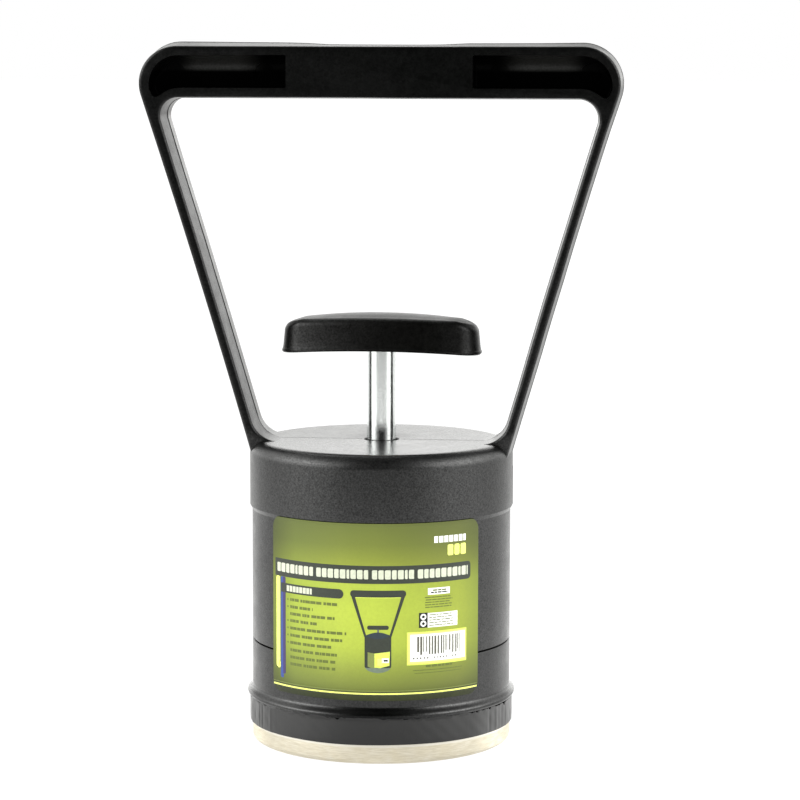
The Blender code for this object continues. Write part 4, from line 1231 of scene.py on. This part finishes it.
def print_bars():
    """Upright bars on a white panel with a bright rim, and the lines below it."""
    rect("lime", 16.9, 45.2, 21.45, 28.55)
    rect("yellow", 17.3, 44.9, 21.75, 28.35, 1)
    rect("white", 18.3, 44.3, 22.20, 28.02, 2)
    a = 21.3
    while a < 41.2:
        width = PRINT_RNG.choice((0.40, 0.45, 0.70, 0.95, 1.5))
        foot = 23.60 if PRINT_RNG.random() > 0.3 else 24.2
        rect("bars", a, min(41.5, a + width), foot, 27.55, 3)
        a += width + PRINT_RNG.choice((0.35, 0.40, 0.55, 0.85))
    blocks("bars", 19.4, 40.6, 22.72, 23.05, width=(0.5, 0.8), gap=(0.7, 1.1), layer=3,
           run=5, space=1.6)
    blocks("text", 25.2, 37.8, 20.86, 21.34, width=(1.2, 3.0), gap=(0.3, 0.4))
    rect("text", 19.6, 43.0, 20.20, 20.36)
    rect("text", 20.2, 42.4, 19.60, 19.74)


def print_edges():
    """Two rows of blocks at the top right, and the rules near the bottom edge."""
    blocks("white", 28.9, 44.6, 47.45, 48.85, width=(1.75, 2.0), gap=(0.50, 0.60))
    for a0, a1 in ((35.3, 38.1), (38.7, 41.3), (41.9, 44.7)):
        round_rect("yellow", a0, a1, 44.55, 46.90, left=0.3, right=0.3, steps=3)
    rect("yellow", LABEL_LEFT + 0.5, LABEL_RIGHT - 0.7, 15.22, 15.56, 1)
    rect("charcoal", LABEL_LEFT + 0.4, LABEL_RIGHT - 0.6, 15.56, 15.74)
    rect("charcoal", LABEL_LEFT + 0.6, LABEL_RIGHT - 0.8, 15.00, 15.22)
    rect("olive", LABEL_LEFT + 0.45, LABEL_RIGHT - 0.65, 15.95, 16.05)


def build_print():
    print_banner()
    print_left()
    print_pictogram()
    print_right()
    print_bars()
    print_edges()
    inks = list(INKS)
    bm = bmesh.new()
    for ink, shapes in PRINT.items():
        for columns, layer in shapes:
            back, front = PRINT_BACK_R, PRINT_R + LAYER_STEP * layer
            rings = [[bm.verts.new(polar(r, deg, z)) for r, z in
                      ((back, z0), (front, z0), (front, z1), (back, z1))]
                     for deg, z0, z1 in columns]
            faces = [bm.faces.new(rings[0]), bm.faces.new(list(reversed(rings[-1])))]
            for face in faces + skin(bm, rings, flip=True):
                face.material_index = inks.index(ink)
    ob = commit("label_print", bm, list(INKS.values()), sharp=30.0)
    register(ob, "housing")


# ------------------------------------------------------------------ T-handle
TEE_HALF_LENGTH, TEE_HALF_DEPTH = 21.85, 8.0
TEE_LOW, TEE_TOP = 86.15, 93.85
TEE_HEIGHT = TEE_TOP - TEE_LOW
TEE_CORNER_R = 4.4                          # corners seen from above
TEE_ARCH, TEE_TOP_ARCH = 1.0, 1.7           # how far the ends droop, at underside and top
TEE_DRAFT = 0.68
TEE_YAW = -3.0                              # degrees
TEE_EDGE_R, TEE_END_R = 1.7, 2.5            # upper rounding along the sides and at the ends

# foot of the sides: (offset outwards, height above the underside)
TEE_FOOT = ((-0.60, 0.0), (-0.30, 0.03), (-0.06, 0.14), (0.08, 0.32), (0.13, 0.52),
            (0.13, 0.74), (0.10, 0.86), (0.04, 0.97), (-0.02, 1.06), (-0.06, 1.20),
            (-0.09, 1.45))


def tee_half_depth(x):
    return TEE_HALF_DEPTH * (1.0 - 0.36 * (x / TEE_HALF_LENGTH) ** 2)


def tee_plan():
    """(x, half depth) from the left end to the right."""
    left = []
    for k in range(13):
        a = math.radians(180.0 + 90.0 * k / 12.0)
        x = -TEE_HALF_LENGTH + TEE_CORNER_R + TEE_CORNER_R * math.cos(a)
        left.append((x, tee_half_depth(x) - TEE_CORNER_R * (1 + math.sin(a))))
    x0, x1 = left[-1][0], -left[-1][0]
    stations = [x0 + (x1 - x0) * k / 44 for k in range(1, 44)]
    return (left + [(x, tee_half_depth(x)) for x in stations]
            + [(-x, y) for x, y in reversed(left)])


def tee_droop(x, z):
    arch = TEE_ARCH + (TEE_TOP_ARCH - TEE_ARCH) * (z - TEE_LOW) / TEE_HEIGHT
    return arch * (x / TEE_HALF_LENGTH) ** 2


def tee_dip(x):
    """How far the long edges lie below the crown in the middle of the bar."""
    return 0.50 * max(0.0, 1.0 - (x / 17.5) ** 2)


def tee_rings(loop):
    """Rings of points from the underside up to the rounded upper edge."""
    normals = []
    for k in range(len(loop)):
        ax, ay = loop[k - 1]
        bx, by = loop[(k + 1) % len(loop)]
        length = math.hypot(bx - ax, by - ay)
        normals.append(((by - ay) / length, -(bx - ax) / length))
    walls = [(offset, TEE_LOW + z) for offset, z in TEE_FOOT]
    walls += [(-TEE_DRAFT * f, TEE_LOW + TEE_HEIGHT * f) for f in (0.25, 0.40, 0.52)]
    rings = [[(x + nx * offset, y + ny * offset, z - tee_droop(x, z))
              for (x, y), (nx, ny) in zip(loop, normals)] for offset, z in walls]
    for angle in np.linspace(0, 90, 13):
        s, c = math.sin(math.radians(angle)), math.cos(math.radians(angle))
        ring = []
        for (x, y), (nx, ny) in zip(loop, normals):
            radius = TEE_EDGE_R + (TEE_END_R - TEE_EDGE_R) * nx * nx
            inset = TEE_DRAFT * (1 - radius / TEE_HEIGHT) + radius * (1 - c)
            z = TEE_LOW + TEE_HEIGHT - radius * (1 - s)
            ring.append((x - nx * inset, y - ny * inset, z - tee_droop(x, z) - tee_dip(x)))
        rings.append(ring)
    return rings


def close_across(bm, ring, crown):
    """Close a ring with rows of faces from front to back, raised by the crown if any."""
    rows = 8
    previous = None
    for k in range(len(ring) // 2):
        front, back = ring[k], ring[-1 - k]
        row = [front]
        for j in range(1, rows):
            t = j / rows
            point = front.co.lerp(back.co, t)
            if crown > 0:
                rise = crown * min(1.0, abs(front.co.y) / 5.0) + tee_dip(point.x)
                point.z += rise * (1 - (2 * t - 1) ** 2)
            row.append(bm.verts.new(point))
        row.append(back)
        if previous:
            for j in range(rows):
                bm.faces.new((previous[j], row[j], row[j + 1], previous[j + 1]))
        previous = row


def tee_pockets():
    """Hollows in the underside, left and right of the rod."""
    centre, half_length, half_depth, corner_r = 13.4, 5.4, 4.4, 0.8
    outline = []
    for cx, cy, start in ((18.0, -3.2, 270), (18.0, 3.2, 0), (8.8, 3.6, 90),
                          (8.8, -3.6, 180)):
        for j in range(5):
            t = math.radians(start + 22.5 * j)
            outline.append((cx + corner_r * math.cos(t), cy + corner_r * math.sin(t)))
    # (height, shrink)
    levels = ((TEE_LOW - 3.0, 0.0), (TEE_TOP - 3.9, 0.15), (TEE_TOP - 3.4, 0.35),
              (TEE_TOP - 3.2, 0.8))
    bm = bmesh.new()
    for side in (-1, 1):
        tube(bm, [[(side * (centre + (x - centre) * (1 - shrink / half_length)),
                    y * (1 - shrink / half_depth), z) for x, y in outline]
                  for z, shrink in levels])
    return bm


def rod_bore():
    radius, low, high = ROD_R + 0.12, TEE_LOW - 2, 91.75
    return lathe_bm([(0, low), (radius, low), (radius, high), (0, high)], 64)


def nut_recess():
    radius = 5.25 / math.cos(math.radians(30))
    angles = [math.radians(60 * k + 30) for k in range(6)]
    bm = bmesh.new()
    tube(bm, [[(radius * math.cos(a), radius * math.sin(a), z) for a in angles]
              for z in (TEE_LOW - 2.5, TEE_LOW + 0.35 + 3.2 + 0.3)])
    return bm


def build_tee():
    plan = tee_plan()
    loop = [(x, -y) for x, y in plan] + [(x, y) for x, y in reversed(plan)]
    bm = bmesh.new()
    rings = [[bm.verts.new(p) for p in ring] for ring in tee_rings(loop)]
    skin(bm, rings)
    close_across(bm, rings[-1], crown=0.20)
    close_across(bm, rings[0], crown=0.0)
    ob = commit("release_handle_shell", bm, [TEE_PLASTIC], sharp=30.0)
    for tool_bm in (tee_pockets(), rod_bore(), nut_recess()):
        boolean(ob, tool_bm, 'DIFFERENCE')
    tidy(ob, sharp=30.0)
    ob.data.transform(Matrix.Rotation(math.radians(TEE_YAW), 4, 'Z'))
    register(ob, "plunger", "release_handle")


# ------------------------------------------------------------------ rod and spring
def thread(z, end):
    """Profile of a thread cut as rings, one every millimetre."""
    root = ROD_R - 0.42
    points = []
    while z < end:
        points += [(ROD_R, z), (ROD_R, z + 0.2), (root, z + 0.5), (root, z + 0.6),
                   (ROD_R, z + 0.9)]
        z += 1.0
    return points


def build_rod():
    low, high = ROD_LO[2], ROD_HI[2]
    profile = [(0, low), (ROD_R, low, 0.5), *thread(low + 0.9, 20.0)]
    profile += [(ROD_R, z) for z in (22.0, 40.0, 60.0, 75.0, 86.4)]
    profile += [*thread(86.6, high - 1.6), (ROD_R, high, 0.5), (0, high)]
    ob = lathe("release_rod_plated", profile, ZINC, 96)
    register(ob, "plunger", "release_rod")


WIRE_R = 0.6
COIL_R = 6.6                                # to the middle of the wire
TURNS, STEPS_PER_TURN, WIRE_SIDES = 9.0, 48, 12


def build_spring():
    low, high = SPRING_LO[2] + WIRE_R, SPRING_HI[2] - WIRE_R
    closed_turn = 2 * WIRE_R * 1.06         # rise of the closed turn at each end
    pitch = (high - low - 2 * closed_turn) / (TURNS - 2)

    def height(t):
        if t < 1:
            return low + closed_turn * t
        if t > TURNS - 1:
            return high - closed_turn * (TURNS - t)
        return low + closed_turn + pitch * (t - 1)

    steps = int(TURNS * STEPS_PER_TURN)
    e = 1e-2                                # turns either side, to measure the slope
    rings = []
    for k in range(steps + 1):
        t = TURNS * k / steps
        a = 2 * math.pi * t
        rise = height(min(TURNS, t + e)) - height(max(0, t - e))
        tilt = math.atan2(rise / (4 * math.pi * e), COIL_R)
        ring = []
        for s in range(WIRE_SIDES):
            b = 2 * math.pi * s / WIRE_SIDES
            r = COIL_R + WIRE_R * math.cos(b)
            lean = WIRE_R * math.sin(b) * math.sin(tilt)
            ring.append((r * math.cos(a) + lean * math.sin(a),
                         r * math.sin(a) - lean * math.cos(a),
                         height(t) + WIRE_R * math.sin(b) * math.cos(tilt)))
        rings.append(ring)
    bm = bmesh.new()
    tube(bm, rings)
    ob = commit("return_spring_coil", bm, [SPRING_WIRE], sharp=60.0)
    register(ob, "housing", "return_spring")
    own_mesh(ob)


build_housing()
build_lower()
build_cup()
build_band()
build_label()
build_print()
build_tee()
build_rod()
build_spring()

# ------------------------------------------------------------------ CAD nodes that stay
KEPT_NODES = {
    "guide_bush": ACETAL, "upper_spring_washer": STEEL, "lower_spring_washer": STEEL,
    "handle_insert_nut": BRASS, "pot_washer": STEEL, "plunger_jam_nut": STEEL,
    "magnet_pot": POT, "ring_magnet_lower": FERRITE, "ring_magnet_upper": FERRITE,
    "centring_sleeve": NYLON, "clamp_washer": STEEL, "magnet_nut": STEEL,
}
for node_name, node_material in KEPT_NODES.items():
    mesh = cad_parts[node_name].data
    mesh.materials.clear()
    mesh.materials.append(node_material)
    mesh.shade_smooth()
    mesh.set_sharp_from_angle(angle=math.radians(35.0))

# ------------------------------------------------------------------ floor and surround
# From here on lengths are metres.
scene = bpy.context.scene
FRONT_ANGLE = math.radians(5.6)             # the lights are set out round this direction
LIGHT_COLOR = (1.0, 1.0, 0.985)

# floor glow: (angle from the front, 0 in front to 1 behind, strength)
FLOOR_ROUND = [(0.0, 1.50), (0.10, 1.40), (0.20, 1.57), (0.30, 1.92), (0.42, 1.95),
               (0.50, 1.62), (0.56, 1.28), (0.62, 1.10), (0.72, 1.02), (0.80, 1.25),
               (1.0, 1.35)]
# its change with distance: (share of FLOOR_REACH, strength)
FLOOR_REACH = 1.25
FLOOR_FRONT = [(0.035, 0.60), (0.050, 0.63), (0.060, 0.82), (0.070, 1.22), (0.085, 1.22),
               (0.12, 1.05), (0.36, 1.0), (0.48, 0.52), (0.68, 0.48), (0.86, 0.02),
               (1.0, 0.01)]
FLOOR_SIDE = [(0.035, 0.66), (0.055, 0.76), (0.075, 1.05), (0.60, 1.0), (1.0, 0.6)]
FLOOR_BACK = [(0.035, 1.45), (0.11, 1.42), (0.28, 1.0), (1.0, 0.95)]

# soft boxes on both sides: (angle from the front, strength) and (upward part, strength)
BOX_ROUND = [(0.0, 0.03), (0.09, 0.06), (0.14, 0.30), (0.205, 0.92), (0.26, 2.8),
             (0.32, 4.6), (0.40, 5.0), (0.49, 4.6), (0.60, 2.2), (0.72, 1.0), (0.85, 0.25),
             (1.0, 0.0)]
BOX_UP = [(0.0, 0.42), (0.10, 0.60), (0.20, 1.0), (0.30, 1.10), (0.44, 1.30), (0.58, 1.08),
          (0.72, 0.42), (0.88, 0.13), (1.0, 0.05)]
# backdrop: (angle from the front, strength)
BACK_ROUND = [(0.58, 0.0), (0.70, 0.8), (0.80, 1.5), (0.90, 2.1), (1.0, 2.1)]


def azimuth(graph, x, y):
    """Angle away from the front, 0 in front to 1 straight behind."""
    c, s = math.cos(FRONT_ANGLE), math.sin(FRONT_ANGLE)
    side = x * c + y * s
    front = x * s - y * c
    return graph.math('ARCTAN2', abs(side), front) / math.pi


def floor_glow(graph):
    """Strength of the light the floor gives to everything but the camera."""
    x, y, _ = graph.split(graph.add("ShaderNodeNewGeometry", out="Position"))
    angle = azimuth(graph, x, y)
    distance = graph.math('SQRT', x * x + y * y)
    share = graph.math('DIVIDE', distance, FLOOR_REACH, clamp=True)
    front, side, back = (share.greys(stops, 2.0)
                         for stops in (FLOOR_FRONT, FLOOR_SIDE, FLOOR_BACK))
    in_front = angle.ease((0.17, 0.34), to=(1.0, 0.0))
    behind = angle.ease((0.52, 0.70))

    def blend(first, second, weight):
        return first * (1.0 - weight) + second * weight

    near = blend(blend(side, front, in_front), back, behind)
    return angle.greys(FLOOR_ROUND, 3.0) * near * 6.0   # 6 undoes the two ramps' scales


def make_floor():
    half, z = 30.0, -0.0002
    corners = [(-half, -half, z), (half, -half, z), (half, half, z), (-half, half, z)]
    mesh = bpy.data.meshes.new("floor")
    mesh.from_pydata(corners, [], [(0, 1, 2, 3)])
    ob = bpy.data.objects.new("floor", mesh)
    scene.collection.objects.link(ob)
    material = bpy.data.materials.new("floor_white")
    material.use_nodes = True
    material.node_tree.nodes.clear()
    graph = Graph(material.node_tree)
    light = graph.add("ShaderNodeEmission",
                      {"Color": LIGHT_COLOR, "Strength": floor_glow(graph)})
    white = graph.add("ShaderNodeEmission", {"Strength": 0.975})
    shadow = graph.add("ShaderNodeBsdfDiffuse", {"Color": (0.10, 0.10, 0.10)})
    seen = graph.add("ShaderNodeAddShader", {0: white, 1: shadow})
    graph.node("ShaderNodeOutputMaterial", {"Surface": graph.for_camera(light, seen)})
    mesh.materials.append(material)


def world_light(graph):
    """Soft boxes at both sides, a low backdrop behind, darkness in front and overhead."""
    x, y, z = graph.split(graph.add("ShaderNodeTexCoord", out="Generated"))
    angle = azimuth(graph, x, y)
    boxes = angle.greys(BOX_ROUND, 5.0) * z.greys(BOX_UP, 1.5)
    backdrop = angle.greys(BACK_ROUND, 5.0)
    # straight behind, the backdrop reaches higher than beside it
    behind = angle.ease((0.86, 0.96))
    back_up = (z.ease((0.28, 0.70), to=(1.0, 0.08)) * behind
               + z.ease((0.12, 0.40), to=(1.0, 0.10)) * (1.0 - behind))
    # the left of the backdrop is darker above the horizon
    shade = x.ease((-0.45, -0.15), to=(0.60, 0.0)) * z.ease((0.12, 0.28))
    backdrop = backdrop * (1.0 - shade)
    light = boxes * 7.5 + backdrop * back_up * 5.0
    # a weak panel overhead, behind and to the left
    panel = (z.ease((0.64, 0.74), to=(0.0, 1.3)) * z.ease((0.92, 0.97), to=(1.0, 0.0))
             * y.ease((0.05, 0.25)) * x.ease((-0.02, 0.16), to=(1.0, 0.0)))
    return light + (panel + 0.015)


def make_world():
    world = bpy.data.worlds.new("studio")
    scene.world = world
    world.use_nodes = True
    world.node_tree.nodes.clear()
    graph = Graph(world.node_tree)
    light = graph.add("ShaderNodeBackground",
                      {"Color": LIGHT_COLOR, "Strength": world_light(graph)})
    white = graph.add("ShaderNodeBackground", {"Color": (1, 1, 1), "Strength": 1.0})
    graph.node("ShaderNodeOutputWorld", {"Surface": graph.for_camera(light, white)})


def make_fill_light():
    """Front light, kept out of reflections."""
    light = bpy.data.lights.new("fill_front", 'AREA')
    light.shape = 'RECTANGLE'
    light.size, light.size_y = 0.9, 0.7
    light.energy = 5.0
    light.color = (1, 1, 1)
    ob = bpy.data.objects.new("fill_front", light)
    scene.collection.objects.link(ob)
    ob.location = (0.25, -1.0, 0.55)
    aim = Vector((0, 0, 0.06)) - Vector((0.25, -1.0, 0.55))
    ob.rotation_euler = aim.to_track_quat('-Z', 'Y').to_euler()
    ob.visible_glossy = False
    ob.visible_camera = False


# ------------------------------------------------------------------ camera
CAMERA_DISTANCE, CAMERA_HEIGHT = 0.61896, 0.14725
# degrees: place round the tool from the front, turn off its axis, tilt down, roll
CAMERA_ANGLES = (5.963, -0.382, 6.678, 0.137)


def make_camera():
    around, yaw, pitch, roll = (math.radians(v) for v in CAMERA_ANGLES)
    place = Vector((CAMERA_DISTANCE * math.sin(around), -CAMERA_DISTANCE * math.cos(around),
                    CAMERA_HEIGHT))
    heading = around + yaw
    right = Vector((math.cos(heading), math.sin(heading), 0))
    forward = Vector((-math.sin(heading) * math.cos(pitch),
                      math.cos(heading) * math.cos(pitch), -math.sin(pitch)))
    up = right.cross(forward)
    rolled_right = right * math.cos(roll) + up * math.sin(roll)
    rolled_up = -right * math.sin(roll) + up * math.cos(roll)
    camera = bpy.data.cameras.new("camera")
    camera.sensor_width = 36.0
    camera.lens = 127.7685
    camera.shift_x = -0.0005625
    ob = bpy.data.objects.new("camera", camera)
    scene.collection.objects.link(ob)
    rows = [(*row, 1.0) for row in (rolled_right, rolled_up, -forward, place)]
    rows = [(*row[:3], 1.0 if row is rows[3] else 0.0) for row in rows]
    ob.matrix_world = Matrix(rows).transposed()
    camera.clip_start, camera.clip_end = 0.01, 100.0
    scene.camera = ob


make_floor()
make_world()
make_fill_light()
make_camera()
scene.view_settings.view_transform = 'Standard'
scene.view_settings.look = 'None'
